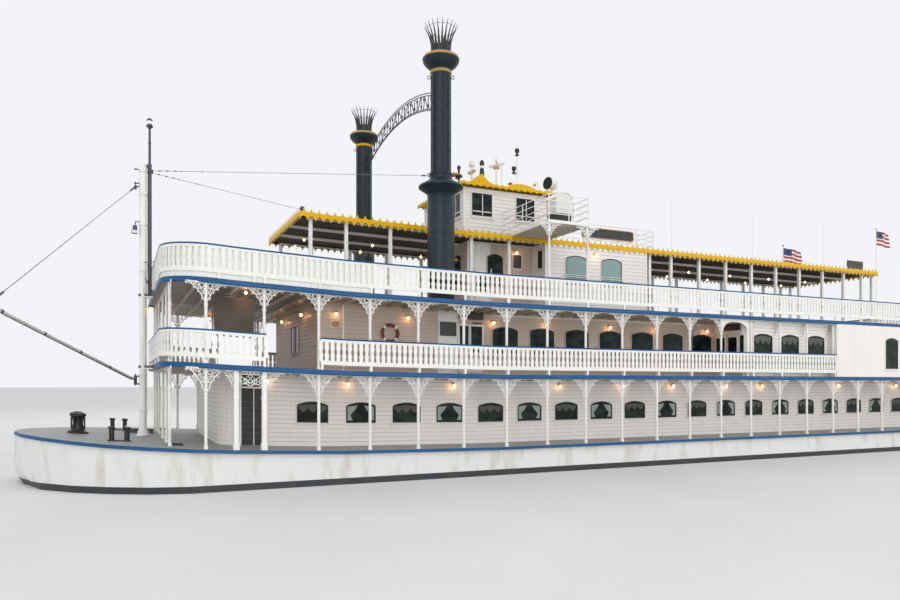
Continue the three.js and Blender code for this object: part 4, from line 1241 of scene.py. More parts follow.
def make_cabin_skins():
    """Boards on every cabin wall, one skin a deck, with corner boards."""
    for side, sign in (("port", -1), ("starboard", 1)):
        def way(start, end, y):
            return [(s, sign * y) for s in run(start, end)][::-sign]

        main = clapboards(way(*MAIN_ENDS[1:3], MAIN_WALL), *MAIN_BOARDS)
        lounge = way(GALLERY_END - WALL_JOINT, LOUNGE_END - WALL_JOINT, LOUNGE_SIDE)
        main.join(clapboards(lounge, *SECOND_BOARDS))
        main.join(corner_boards([(GALLERY_END - 0.02, sign * (LOUNGE_SIDE - 0.03))], SECOND_BOARDS))
        main.join(clapboards(way(*TEXAS_ENDS[:2], TEXAS_WALL), *TEXAS_BOARDS))
        corners = [(s + 0.02, sign * (TEXAS_WALL - 0.02)) for s in TEXAS_ENDS[:2]]
        main.join(corner_boards(corners, (THIRD_DECK + 0.01, 11.35), 0.1))
        build(f"white_boards_{side}", main, [wall_white, groove_painted_shade], slot="white_paint")
        # The gallery walls and the texas's fore step take the shaded white paint: painted shade under the
        # decks and canopy
        skin = clapboards(way(5.72, GALLERY_END - WALL_JOINT, GALLERY_SIDE), *SECOND_BOARDS)
        skin.join(corner_boards([(5.68, sign * (GALLERY_SIDE - 0.04))], SECOND_BOARDS))
        skin.join(clapboards(way(13.1 + 0.85, TEXAS_ENDS[0], FORE_TEXAS_WALL), THIRD_DECK + 0.01, 11.3))
        build(f"cream_boards_{side}", skin, [wall_painted_shade, dim_groove_painted_shade], slot="white_paint")
        path = [(s, y, SECOND_DECK) for s, y in way(LOUNGE_END - WALL_JOINT, 43.36, FLUSH_SIDE)]
        flush = Shape().sweep(path, [(0, 0.01), (0.012, 0.01), (0.012, 2.64), (0, 2.64)])
        y = sign * (FLUSH_SIDE + 0.008)
        heights = (SECOND_DECK + 0.01, SECOND_DECK + 2.64)
        for s in FLUSH_SEAMS:
            flush.box((s - 0.025, s + 0.025), (y - 0.012, y + 0.012), heights)
        build(f"flush_panels_{side}", flush, [wall_white], slot="white_paint")
    # The cabins' fore and after ends take the shaded white paint too: painted shade
    ends = clapboards([(GALLERY_FRONT, 4.02), (GALLERY_FRONT, -4.02)], *SECOND_BOARDS)
    ends.join(clapboards([(FORE_TEXAS_FRONT, y) for y in (FORE_TEXAS_WALL, -FORE_TEXAS_WALL)], *TEXAS_BOARDS))
    ends.join(clapboards([(TEXAS_ENDS[2], y) for y in (-TEXAS_WALL, TEXAS_WALL)], *TEXAS_BOARDS))
    build("cream_boards_ends", ends, [wall_painted_shade, dim_groove_painted_shade], slot="white_paint")
    lower = clapboards([(FLUSH_BACK, -FLUSH_SIDE), (FLUSH_BACK, FLUSH_SIDE)], *SECOND_BOARDS)
    lower.join(clapboards([(MAIN_ENDS[3], -MAIN_WALL), (MAIN_ENDS[3], MAIN_WALL)], *MAIN_BOARDS))
    lower.join(clapboards(rounded_front(MAIN_ENDS[0], MAIN_WALL, 0.9, MAIN_ENDS[1]), *MAIN_BOARDS))
    build("white_boards_ends", lower, [wall_white, groove_painted_shade], slot="white_paint")


def on_end(shape, station, sides, deck, paints, way=1):
    """The same shape on a wall across the boat, facing aft, or forward with way=-1."""
    places = [(station + way * BOARD_LIP, y, deck, way * math.pi / 2) for y in sides]
    return copies("w", shape, places, paints)


def make_windows():
    gallery_side, lounge_side = GALLERY_SIDE + BOARD_LIP, LOUNGE_SIDE + BOARD_LIP
    # Casings on the shaded walls take the same painted shade
    pane = [wall_painted_shade, black, glass]
    plain = [wall_white, black, glass]
    arched = window(*SECOND_WINDOW)
    narrow = window(*NARROW_WINDOW)
    # Behind the open inner door
    shallow = window(*SECOND_WINDOW, casing_depth=0.024, sill_depth=0.024)
    settle("second_windows", joined("second_windows", [
        on_sides("w", arched, GALLERY_WINDOWS[:-1], gallery_side, SECOND_DECK, pane),
        on_sides("w", shallow, GALLERY_WINDOWS[-1:], gallery_side, SECOND_DECK, pane),
        on_sides("w", arched, LOUNGE_WINDOWS, lounge_side, SECOND_DECK, plain),
        on_sides("w", window(*TALL_WINDOW), TALL_WINDOWS, FLUSH_SIDE + 0.012, SECOND_DECK, plain),
        on_sides("w", window(*SQUARE_WINDOW), SQUARE_WINDOWS, FLUSH_SIDE + 0.012, SECOND_DECK, plain),
        on_sides("w", swags(SECOND_WINDOW), LOUNGE_WINDOWS, lounge_side, SECOND_DECK, [shade_lace]),
        on_end(window(*FRONT_WINDOW, arched=False), GALLERY_FRONT, (-0.42, 0.42), SECOND_DECK, pane, -1),
    ]), slot="black_iron")
    side = MAIN_WALL + BOARD_LIP
    settle("main_windows", joined("main_windows", [
        on_sides("w", window(*FIRST_WINDOW), MAIN_WINDOWS, side, MAIN_DECK, plain),
        on_sides("w", drapes(FIRST_WINDOW), MAIN_WINDOWS[1::2], side, MAIN_DECK, [shade_pale]),
        on_sides("w", swags(FIRST_WINDOW), MAIN_WINDOWS[::2], side, MAIN_DECK, [shade_lace]),
        on_end(arched, FLUSH_BACK, (-4.4, -2.2, 0, 2.2, 4.4), SECOND_DECK, pane),
    ]), slot="black_iron")
    shaded = [wall_white, black, blind]
    settle("texas_windows", joined("texas_windows", [
        on_sides("w", window(*TEXAS_WINDOW), TEXAS_WINDOWS, TEXAS_WALL + BOARD_LIP, THIRD_DECK, shaded),
        on_sides("w", narrow, FORE_TEXAS_WINDOWS, FORE_TEXAS_WALL + BOARD_LIP, THIRD_DECK, pane),
        on_end(narrow, FORE_TEXAS_FRONT, (-0.9, 0.9), THIRD_DECK, pane, -1),
        on_end(narrow, TEXAS_ENDS[2], (-1.5, 1.5), THIRD_DECK, pane),
    ]), slot="black_iron")


make_cabin_skins()
make_windows()


# Canopy: ribbed roof, purlins, and the yellow scalloped edge with its finials

SCALLOP = 0.31
EDGE_BAND = 0.17
EDGE_DROP = 0.32
FINIAL = 0.12
EDGE_LIFT = 0.05
SHEET_RIDGE = 0.155


def scallop_unit(pitch=SCALLOP, band=EDGE_BAND, drop=EDGE_DROP, finial=FINIAL, depth=0.02):
    """One arch of the edge board between two teeth, with its top edge dipped between small finials."""
    half = pitch / 2 + 0.002
    reach = half - 0.022
    arch = [(reach * cos, -drop + (drop - band) * sin) for cos, sin in round_about(6, math.pi)]
    outline = [(-half, -0.03), (-half, -drop + 0.02)] + arch[::-1] + [(half, -drop + 0.02), (half, -0.03)]
    outline += [(0.08, -0.005), (0.04, 0.02), (0.022, finial * 0.45), (0.03, finial * 0.62), (0.0, finial)]
    outline += [(-0.03, finial * 0.62), (-0.022, finial * 0.45), (-0.04, 0.02), (-0.08, -0.005)]
    return Shape().prism(outline, -depth / 2, depth / 2)


def edge_runs(corners):
    """Each straight run of a closed path, shortened by half a scallop at both ends, with its pitch."""
    made = []
    for start, end in zip(corners, corners[1:] + corners[:1]):
        length = math.hypot(end[0] - start[0], end[1] - start[1])
        pitch = length / round(length / SCALLOP)
        share = pitch / 2 / length
        ends = [tuple(a + (b - a) * t for a, b in zip(start, end)) for t in (share, 1 - share)]
        made.append((ends, pitch))
    return made


def scalloped_edge(name, corners, **unit):
    return joined(name, [
        along(name, scallop_unit(pitch, **unit), path, pitch, [yellow]) for path, pitch in edge_runs(corners)
    ])


def make_canopy():
    start, end = CANOPY
    side = CANOPY_HALF - 0.012
    top = CANOPY_TOP + EDGE_LIFT
    corners = [(start, side, top), (start, -side, top), (end, -side, top), (end, side, top)]
    edge = scalloped_edge("canopy_edge", corners)
    settle("canopy_edge", edge, sheered="whole", replaces=["canopy"], slot="yellow_trim")
    width = CANOPY_HALF - 0.03
    length = end - start - 0.06
    steps = round(length / SHEET_RIDGE * 4)
    rings = []
    for i in range(steps + 1):
        x = start + 0.03 + length * i / steps
        z = CANOPY_ROOF - 0.02 + 0.014 * math.sin(math.pi / 2 * i)
        rings.append([(x, -width, z), (x, width, z), (x, width, z - 0.012), (x, -width, z - 0.012)])
    build("canopy_roof", Shape().rings(rings), [sheet_metal], sheered="whole", slot="steel")
    frames = Shape()
    # Paint 1 on the two outer beams is the sheet's dark underside colour: painted shade
    for y, half, paint in ((-0.98, 0.03, 0), (0.98, 0.03, 0), (-2.78, 0.04, 1), (2.78, 0.04, 1)):
        path = [(s, y, CANOPY_ROOF - 0.12) for s in run(start + 0.05, end - 0.05)]
        frames.sweep(path, [(-half, -0.04), (-half, 0.07), (half, 0.07), (half, -0.04)], paint)
    build("canopy_beams", frames, [wall_white, sheet_metal], sheered="whole", slot="white_paint")


make_canopy()


# Chimneys, crowns and the arch between them

TUBE = 0.378
TUBE_SPAN = (4.7, 8.93)
STACK_SIDES = 40
# Turned parts of a chimney: radius, and height over the third deck
STACK_BODY = [(0.0, 0.005), (0.56, 0.005), (0.56, 0.06), (0.535, 0.08), (0.535, 4.22), (0.52, 4.24)]
STACK_FLANGE = [
    (0.52, 4.24), (0.6, 4.31), (0.86, 4.49), (0.875, 4.5), (0.875, 4.56), (0.86, 4.58), (0.62, 4.71),
    (0.46, 4.84), (0.46, 4.87), (0.43, 4.88), (0.43, 4.98), (0.46, 4.99), (0.46, 5.06), (0.3, 5.06),
]
STACK_TUBE = [(TUBE, 4.9), (TUBE, 9.1)]
STACK_NECK = [
    (0.3, 9.02), (0.385, 9.06), (0.395, 9.12), (0.47, 9.17), (0.6, 9.27), (0.7, 9.4), (0.72, 9.5),
    (0.3, 9.56),
]
STACK_LIP = [(0.6, 9.6), (0.45, 9.68), (0.385, 9.72), (0.3, 9.72)]
SEAMS = (1.35, 2.7)
RIBS = 8


def rib():
    """A flat batten with a raised spine, standing on the tube at +X."""
    low, high = TUBE_SPAN
    made = Shape().box((TUBE - 0.012, TUBE + 0.012), (-0.032, 0.032), (low + 0.25, high - 0.05))
    made.box((TUBE, TUBE + 0.022), (-0.006, 0.006), (low + 0.25, high - 0.05))
    return made


def lug():
    """A step lug with a small plate at its end, on a batten."""
    made = Shape().box((TUBE, TUBE + 0.075), (-0.012, 0.012), (-0.012, 0.012))
    return made.box((TUBE + 0.07, TUBE + 0.085), (-0.022, 0.022), (-0.022, 0.022))


def shackle():
    """A round lifting eye on the tube's side."""
    made = Shape()
    ribbon(made, circle(TUBE + 0.085, 0.0, 0.065, 10), 0.022, 0.03, closed=True)
    return made


def stack(name, side, ring_paint):
    middle = (STACK_STATION, side)
    body = Shape()

    def turned(profile, paint=0):
        body.lathe([(r, THIRD_DECK + z) for r, z in profile], middle, STACK_SIDES, paint)

    for profile in (STACK_BODY, STACK_FLANGE, STACK_TUBE, STACK_NECK):
        turned(profile)
    body.torus(middle, THIRD_DECK + 9.0, 0.375, 0.062, paint=1)
    body.torus(middle, THIRD_DECK + 9.53, 0.595, 0.135, paint=2, squash=0.8)
    turned(STACK_LIP, 3)
    for z in SEAMS:
        turned([(0.534, z - 0.03), (0.541, z - 0.025), (0.541, z + 0.025), (0.534, z + 0.03)])
    paints = [stack_paint, ring_paint, gilt, black]
    ribs = copies(name, rib(), [(*middle, THIRD_DECK, TAU * (k + 0.5) / RIBS) for k in range(RIBS)], paints)
    heights = [THIRD_DECK + 5.3 + 0.6 * i for i in range(6)]
    spots = [(*middle, z, TAU * (k + 0.5) / RIBS) for z in heights for k in range(0, RIBS, 2)]
    lugs = copies(name, lug(), spots, paints)
    eyes = [(*middle, THIRD_DECK + z, a) for z in (5.02, 8.83) for a in (-0.43, math.pi - 0.43)]
    rings = copies(name, shackle(), eyes, paints)
    mesh = joined(name, [mesh_of(name, body, paints), ribs, lugs, rings])
    settle(name, mesh, smooth=40, replaces=[name.replace("_smooth", "")], slot="chimney_paint")


CROWN_FOOT = THIRD_DECK + 9.72
CROWN_FINGERS = 20
CROWN_HEIGHT = 1.12


def crown_finger(height, reach, width):
    """One flaring blade of the crown, in the plane of X and Z, ending in a point."""
    rings = []
    for share in evenly(0.0, 1.0, 8):
        r = 0.375 + reach * share ** 2.2
        z = 0.12 + height * share
        half = width / 2 * (1 - 0.88 * share ** 1.1)
        thick = 0.016 * (1 - 0.7 * share)
        near, far = r - thick, r + thick
        rings.append([(near, -half, z), (far, -half, z), (far, half, z), (near, half, z)])
    return Shape().rings(rings)


CROWN_BASE = [(0.3, 0.001), (0.385, 0.001), (0.385, 0.3), (0.36, 0.3), (0.36, 0.05), (0.3, 0.05)]


def make_crown(name, side):
    middle = (STACK_STATION, side)
    base = Shape().lathe([(r, CROWN_FOOT + z) for r, z in CROWN_BASE], middle, 36)
    base.torus(middle, CROWN_FOOT + 0.98, 0.57, 0.008, 40, 5)
    places = [(*middle, CROWN_FOOT, TAU * k / CROWN_FINGERS) for k in range(CROWN_FINGERS)]
    blades = copies(name, crown_finger(CROWN_HEIGHT - 0.12, 0.3, 0.105), places, [black])
    mesh = joined(name, [mesh_of(name, base, [black]), blades])
    settle(name, mesh, sheered=False, smooth=40, replaces=[name.replace("_blades", "")], slot="black_iron")


ARCH_ENDS = (7.5, 8.2)
ARCH_RISE = 1.0
ARCH_PANELS = 12


def arch_height(side, end):
    return THIRD_DECK + end + ARCH_RISE * (1 - (side / STACK_SIDE) ** 2)


def make_arch():
    arch = Shape()
    edge = STACK_SIDE - TUBE + 0.01
    low, high = ARCH_ENDS
    for end, step in ((low, 0.075), (high, -0.075)):
        for shift in (0.02, step):
            bar = [(STACK_STATION, y, arch_height(y, end) + shift) for y in evenly(-edge, edge, 48)]
            arch.tube(bar, 0.02, 6)
    pitch = 2 * edge / ARCH_PANELS
    lace = Shape()
    for i in range(ARCH_PANELS):
        y = -edge + pitch * (i + 0.5)
        foot, head = arch_height(y, low) + 0.07, arch_height(y, high) - 0.07
        middle = (foot + head) / 2
        half = (head - foot) / 2
        slope = (arch_height(y + 0.1, low) - arch_height(y - 0.1, low)) / 0.2

        def strip(points, width, closed=False):
            ribbon(lace, [(u, v + slope * (u - y)) for u, v in points], width, 0.03, closed)

        lean = 0.16 if i % 2 else -0.16
        strip([(y - lean, foot), (y + lean, head)], 0.022)
        for sign in (-1, 1):
            strip([(y + sign * (pitch * 0.46 - 0.13 * math.sin(math.pi * (0.12 + 0.76 * k / 8))),
                    foot + (head - foot) * k / 8) for k in range(9)], 0.02)
            strip(circle(y + sign * pitch * 0.3, middle + sign * half * 0.45, 0.06, 8), 0.016, closed=True)
    arch.join(lace.mirrored(lambda x, y, z: (STACK_STATION + y, x, z)))
    build("arch_lattice", arch, [stack_paint], sheered=False, smooth=40, replaces=["chimney_arch"],
          slot="chimney_paint")


stack("chimney_port_smooth", -STACK_SIDE, gilt)
stack("chimney_starboard_smooth", STACK_SIDE, yellow)
make_crown("crown_port_blades", -STACK_SIDE)
make_crown("crown_starboard_blades", STACK_SIDE)
make_arch()


# Pilothouse, its roof gear, and the bridge wings

PILOT = (12.5, 17.0)
PILOT_HALF = 2.15
PILOT_EAVE = 13.68
PILOT_PEAK = 14.25
PILOT_OVERHANG = 0.3
PILOT_SILL = 12.44
PILOT_HEAD = 13.44
# Middles of the window bays, each 1 m wide
SIDE_BAYS = (13.36, 15.6)
FRONT_BAYS = (-1.35, 0.0, 1.35)
AFT_BAYS = (-1.3, 1.3)


def make_pilothouse():
    boards = Shape()
    half = PILOT_HALF
    low, high = CANOPY_ROOF + 0.01, PILOT_EAVE - 0.01
    for z0, z1 in ((low, PILOT_SILL), (PILOT_SILL, PILOT_HEAD), (PILOT_HEAD, high)):
        def spans(ends, bays):
            """The wall in one span, or in several between the window bays."""
            sides = [e for bay in bays for e in (bay - 0.5, bay + 0.5)] if z0 == PILOT_SILL else []
            edges = [ends[0], *sides, ends[1]]
            return zip(edges[::2], edges[1::2])

        for y, way in ((-half, 1), (half, -1)):
            for span in spans(PILOT, SIDE_BAYS):
                boards.join(clapboards([(s, y) for s in span[::way]], z0, z1))
        for s, bays, way in ((PILOT[0], FRONT_BAYS, -1), (PILOT[1], AFT_BAYS, 1)):
            for span in spans((-half, half), bays):
                boards.join(clapboards([(s, y) for y in span[::way]], z0, z1))
    corners = [(s, y) for s in PILOT for y in (-half, half)]
    boards.join(corner_boards(corners, (low, high), 0.1))
    build("pilothouse_boards", boards, [wall_white, groove_painted_shade], sheered=False, slot="white_paint")
    frame_window = window(1.0, 0.0, 1.0, arched=False)
    frame_window.box((0.012, 0.048), (-0.024, -0.01), (0.02, 0.97), 0)
    frame_window.box((-0.47, 0.47), (-0.024, -0.01), (0.18, 0.22), 0)
    places = [(s, -half - 0.02, PILOT_SILL, 0.0) for s in SIDE_BAYS]
    places += [(s, half + 0.02, PILOT_SILL, math.pi) for s in SIDE_BAYS]
    places += [(PILOT[0] - 0.02, y, PILOT_SILL, -math.pi / 2) for y in FRONT_BAYS]
    places += [(PILOT[1] + 0.02, y, PILOT_SILL, math.pi / 2) for y in AFT_BAYS]
    mesh = copies("pilothouse_windows", frame_window, places, [white, black, glass])
    settle("pilothouse_windows", mesh, sheered=False, slot="black_iron")


def make_pilothouse_roof():
    """The roof with its ogee peak and low hump, and scalloped boards round its eaves."""
    start, end = PILOT[0] - PILOT_OVERHANG, PILOT[1] + PILOT_OVERHANG
    side = PILOT_HALF + PILOT_OVERHANG
    valley = PILOT_EAVE + 0.14
    peak, reach = 13.23, 0.72
    top = [(start, valley)]
    for i in range(13):
        share = abs(i - 6) / 6
        top.append((peak - reach + reach * i / 6, valley + (PILOT_PEAK - valley) * (1 - share) ** 1.9))
    for i, s in enumerate(evenly(14.5, 16.05, 12)):
        top.append((s, valley + 0.19 * math.sin(math.pi * i / 12) ** 0.75))
    top.append((end, valley))
    outline = [(start, PILOT_EAVE + 0.08), *top, (end, PILOT_EAVE + 0.08)]
    roof = Shape().prism(outline, 0.01 - side, side - 0.01)
    corners = [(start, side, valley), (start, -side, valley), (end, -side, valley), (end, side, valley)]
    edge = scalloped_edge("pilothouse_eaves", corners, band=0.09, drop=0.175, finial=0.045)
    mesh = joined("pilothouse_eaves", [mesh_of("pilothouse_top", roof, [yellow]), edge])
    settle("pilothouse_eaves", mesh, sheered=False, replaces=["pilothouse_roof"], slot="yellow_trim")


ROOF_LEVEL = 13.84
SEARCHLIGHT = (16.95, -2.2, 14.27)
SEARCHLIGHT_WAY = (-0.978, -0.208, 0.04)


def lantern(shape, s, y, foot):
    """A dark lantern with a waist."""
    shape.lathe([
        (0.0, foot), (0.11, foot + 0.01), (0.05, foot + 0.1), (0.05, foot + 0.14), (0.1, foot + 0.18),
        (0.11, foot + 0.3), (0.07, foot + 0.34), (0.0, foot + 0.36),
    ], (s, y), 12, 1)


def make_roof_gear():
    """Horn, radar, scanners, lanterns and lamps on the pilothouse roof."""
    gear = Shape()
    side = -1.2
    horn, radar, lamp, scanner = (12.7, side), (13.35, side), (13.3, -2.3), (14.62, side)
    gear.tube([(*horn, ROOF_LEVEL), (*horn, 14.72)], 0.05, 10, 1)
    gear.lathe([(0.0, 14.68), (0.08, 14.7), (0.09, 14.78), (0.05, 14.86), (0.0, 14.87)], horn, 10, 1)
    for y in (side - 0.16, side, side + 0.16):
        gear.tube([(12.74, y, 14.42), (12.5, y, 14.42), (12.36, y, 14.42)], 0.028, 8, 3, end_radius=0.075)
    gear.box((12.62, 12.78), (-1.42, -0.98), (14.3, 14.38), 1)
    gear.tube([(*radar, ROOF_LEVEL), (*radar, 14.62)], 0.045, 10, 0)
    gear.lathe([
        (0.0, 14.58), (0.1, 14.58), (0.16, 14.64), (0.15, 14.7), (0.07, 14.76), (0.07, 14.84), (0.13, 14.9),
        (0.14, 15.0), (0.1, 15.12), (0.04, 15.18), (0.0, 15.19),
    ], radar, 14, 0)
    gear.box((13.28, 13.42), (-1.5, -0.9), (14.62, 14.69), 2)
    gear.lathe([(0.0, 14.2), (0.12, 14.22), (0.1, 14.3), (0.09, 14.42), (0.09, 14.5)], lamp, 12, 1)
    gear.lathe([(0.075, 14.48), (0.09, 14.5), (0.09, 14.62), (0.075, 14.64)], lamp, 12, 0)
    gear.lathe([(0.09, 14.62), (0.1, 14.64), (0.1, 14.78), (0.06, 14.86), (0.0, 14.88)], lamp, 12, 1)
    gear.tube([(*scanner, ROOF_LEVEL), (*scanner, 14.98)], 0.04, 10, 0)
    gear.tube([(14.9, side, ROOF_LEVEL), (14.9, side, 15.1)], 0.025, 8, 0)
    gear.lathe([(0.0, 14.96), (0.15, 14.97), (0.17, 15.02), (0.1, 15.1), (0.0, 15.12)], scanner, 14, 2)
    for height, turn in ((15.13, 0.5), (15.27, -0.6)):
        arm = Shape().box((-0.04, 0.04), (-0.42, 0.42), (-0.05, 0.05))
        gear.join(arm, turn=turn, move=(14.64, side, height), paint=0)
    gear.tube([(14.64, side, 15.1), (14.64, side, 15.3)], 0.03, 8, 0)
    gear.tube([(15.72, side, ROOF_LEVEL), (15.72, side, 15.72)], 0.022, 6, 0)
    gear.box((15.5, 15.76), (-1.22, -1.18), (14.8, 14.84), 0)
    lantern(gear, 15.72, side, 15.7)
    lantern(gear, 15.55, side, 14.84)
    profile = [(0.0, 13.96), (0.03, 13.96), (0.03, 14.08), (0.13, 14.12), (0.06, 14.18), (0.0, 14.19)]
    gear.lathe(profile, (14.95, -1.9), 12, 4)
    neck = [(16.24, -2.2, ROOF_LEVEL - 0.02), (16.24, -2.2, 14.18)]
    bend = [(math.cos(a), math.sin(a)) for a in (0.6, 1.2, 1.8, 2.4, 3.1)]
    neck += [(16.24 - 0.09 * (1 - c), -2.2, 14.18 + 0.1 * s) for c, s in bend]
    gear.tube(neck, 0.017, 6, 0)
    gear.lathe([(0.0, 14.08), (0.1, 14.1), (0.05, 14.17), (0.02, 14.2), (0.0, 14.2)], (16.06, -2.2), 10, 3)
    mesh = mesh_of("roof_gear", gear, [white, black, beige, brass, signal_red])
    settle("roof_gear", mesh, sheered=False, smooth=40, slot="white_paint")


def make_searchlight():
    light = Shape()
    centre = Vector(SEARCHLIGHT)
    post = SEARCHLIGHT[2] - 0.33
    way = Vector(SEARCHLIGHT_WAY).normalized()
    across = way.cross(Vector((0, 0, 1))).normalized()
    up = across.cross(way)

    def rings(pairs, paint):
        """Turns (along, radius) pairs about the light's axis."""
        light.rings([
            [centre + way * reach + across * (radius * c) + up * (radius * s) for c, s in round_about(24)]
            for reach, radius in pairs
        ], paint)

    shell = [(-0.3, 0.06), (-0.29, 0.16), (-0.22, 0.23), (-0.08, 0.26), (0.16, 0.265), (0.17, 0.285)]
    rings(shell + [(0.22, 0.285)], 0)
    rings([(0.2, 0.286), (0.24, 0.286), (0.24, 0.25), (0.2, 0.25)], 1)
    rings([(0.215, 0.252), (0.222, 0.252)], 2)
    for reach in (-0.3, 0.3):
        end = centre + across * reach
        light.tube([end, end + Vector((0, 0, -0.24)), centre + Vector((0, 0, -0.36))], 0.022, 6, 0)
    foot = [(0.0, -0.02), (0.12, -0.02), (0.12, 0.03), (0.05, 0.05)]
    light.lathe([(r, ROOF_LEVEL + h) for r, h in foot] + [(0.05, post), (0.0, post)], SEARCHLIGHT[:2], 12)
    mesh = mesh_of("searchlight", light, [white, black, glass])
    settle("searchlight", mesh, sheered=False, smooth=40, slot="white_paint")


WING = (14.4, 16.35)
WING_OUTER = 5.98
WING_DECK = 11.6
WING_BARS = (0.28, 0.54, 0.8, 1.06)


def wing_half():
    """One bridge wing, on the port side."""
    wing = Shape()
    inner = PILOT_HALF + 0.02
    wing.box(WING, (-WING_OUTER, -inner), (WING_DECK - 0.05, WING_DECK), 2)
    for s in WING:
        wing.box((s - 0.03, s + 0.03), (-WING_OUTER, -inner), (WING_DECK - 0.1, WING_DECK + 0.02), 0)
    wing.box(WING, (-WING_OUTER - 0.03, -WING_OUTER + 0.03), (WING_DECK - 0.1, WING_DECK + 0.02), 0)
    for i in range(9):
        y = -inner - 0.25 - i * 0.42
        stations = (WING[0] + 0.03, WING[1] - 0.03)
        wing.box(stations, (y - 0.03, y + 0.03), (WING_DECK - 0.13, WING_DECK - 0.05), 2)
    low, high = WING[0] + 0.02, WING[1] - 0.02
    outer = -WING_OUTER + 0.02
    for height in WING_BARS:
        z = WING_DECK + height
        corners = [(low, -inner, z), (low, outer, z), (high, outer, z), (high, -inner, z)]
        for start, end in zip(corners, corners[1:]):
            wing.tube([start, end], 0.02, 6, 0)
    posts = [(s, y) for s in (low, high) for y in (outer, -4.9, -3.9, -2.9, -inner - 0.02)]
    for s, y in posts + [((low + high) / 2, outer)]:
        wing.tube([(s, y, WING_DECK - 0.02), (s, y, WING_DECK + WING_BARS[-1] + 0.02)], 0.023, 6, 0)
    for s in (WING[0] + 0.05, WING[1] - 0.05):
        wing.lathe([
            (0.07, THIRD_DECK + 0.005), (0.05, THIRD_DECK + 0.1), (0.045, 11.1), (0.06, 11.12), (0.06, 11.16),
            (0.045, 11.18), (0.045, WING_DECK - 0.1),
        ], (s, -WING_OUTER + 0.05), 10, 0)
        wing.join(bracket(0.5, 0.5), move=(s, -WING_OUTER + 0.05, WING_DECK - 0.1))
    return wing


CONSOLE = (14.98, 15.76)
CONSOLE_SIDES = (-5.62, -4.9)


def console():
    """The weather box over the wing's controls: boarded, with a rounded gable, and dark below."""
    box = Shape()
    (s0, s1), (y0, y1) = CONSOLE, CONSOLE_SIDES
    foot, waist, eave, top = WING_DECK - 0.01, WING_DECK + 0.45, WING_DECK + 1.02, WING_DECK + 1.29
    middle, half = (s0 + s1) / 2, (s1 - s0) / 2
    gable = [(middle - half * c, eave + (top - eave) * s) for c, s in round_about(10, math.pi)]
    box.prism([(s0, waist), (s1, waist), (s1, eave)] + gable[::-1][1:-1] + [(s0, eave)], y0, y1)
    outline = [(s0 + 0.02, foot), (s1 - 0.02, foot), (s1 - 0.02, waist), (s0 + 0.02, waist)]
    box.prism(outline, y0 + 0.02, y1 - 0.02, paint=1)
    roof = [(middle + (x - middle) * 1.09, z + 0.015) for x, z in gable]
    under = [(middle + (x - middle) * 0.99, z - 0.02) for x, z in gable]
    box.prism(roof + under[::-1], y0 - 0.05, y1 + 0.05)
    for k in range(8):
        z = waist + 0.06 + k * 0.095
        reach = half if z < eave else half * math.sqrt(max(0.02, 1 - ((z - eave) / (top - eave)) ** 2))
        box.box((middle - reach, middle + reach), (y0 - 0.01, y0 + 0.002), (z - 0.008, z + 0.02))
        if z < eave:
            box.box((s0 - 0.01, s0 + 0.002), (y0, y1), (z - 0.008, z + 0.02))
    box.box((s0 - 0.02, s1 + 0.02), (y0 - 0.02, y0 + 0.005), (waist - 0.03, waist + 0.03))
    return box


def make_wings():
    wing = wing_half().join(console())
    for side, shape in (("port", wing), ("starboard", wing.mirrored())):
        build(f"bridge_wing_{side}_rails", shape, [white, black, beige], sheered=False, smooth=40,
              replaces=[f"bridge_wing_{side}"], slot="white_paint")


BOARD = (18.2, 21.15)
BOARD_HEIGHTS = (11.8, 12.3)
ROOF_RAIL = (17.22, 22.4)


def make_roof_board():
    """A blank board with a gilt border on the roof's railing."""
    board = Shape()
    y0, y1 = -2.9, -2.84
    low, high = BOARD_HEIGHTS
    middle = (BOARD[0] + BOARD[1]) / 2
    half = (BOARD[1] - BOARD[0]) / 2
    left, right = middle - half, middle + half
    outline = [
        (left, low + 0.06), (left + 0.1, low), (right - 0.1, low), (right, low + 0.06),
        (right, high - 0.06), (right - 0.1, high), (left + 0.1, high), (left, high - 0.06),
    ]
    board.prism(outline, y0, y1, paint=1)
    inner = inset_outline([(x - middle, z) for x, z in outline], 0.035, (low + high) / 2)
    board.frame(outline, [(x + middle, z) for x, z in inner], y0 - 0.015, y0 + 0.001, 2)
    fore, aft = ROOF_RAIL
    sides = (-2.83, 2.83)
    for rise in (0.28, 0.52, 0.75, 0.98):
        z = CANOPY_ROOF + rise
        for start, end in (*(((fore, y), (aft, y)) for y in sides), ((aft, sides[0]), (aft, sides[1]))):
            board.tube([(*start, z), (*end, z)], 0.016, 6, 0)
    for s in evenly(fore, aft, 5):
        for y in sides:
            board.tube([(s, y, CANOPY_ROOF), (s, y, CANOPY_ROOF + 1.0)], 0.018, 6, 0)
    build("roof_board_and_railing", board, [white, black, gilt], sheered=False, smooth=40,
          replaces=["roof_board"], slot="black_iron")


make_pilothouse()
make_pilothouse_roof()
make_roof_gear()
make_searchlight()
make_wings()
make_roof_board()


# Paddlewheel, its shaft and its bearings

WHEEL_SIDE = 3.45
WHEEL_RIM = (3.18, 3.3)
WHEEL_ARMS = 16
BUCKET = (3.0, 3.65)
SHAFT = 0.25
SHAFT_END = 4.65
# Side and width of each frame
WHEEL_FRAMES = [
    (-WHEEL_SIDE, 0.12), (-WHEEL_SIDE / 2, 0.09), (0.0, 0.12), (WHEEL_SIDE / 2, 0.09), (WHEEL_SIDE, 0.12),
]
BEARING_BOLT = [(0.0, 5.04), (0.06, 5.04), (0.06, 5.12), (0.03, 5.12), (0.03, 5.18), (0.0, 5.18)]
GREASE_CUP = [(0.0, 5.26), (0.03, 5.26), (0.03, 5.36), (0.06, 5.38), (0.06, 5.44), (0.0, 5.45)]


def about_wheel(shape, turn):
    """The shape turned about an axis across the boat."""
    c, s = math.cos(turn), math.sin(turn)
    return Shape([(x * c - z * s, y, x * s + z * c) for x, y, z in shape.points], shape.faces, shape.paints)


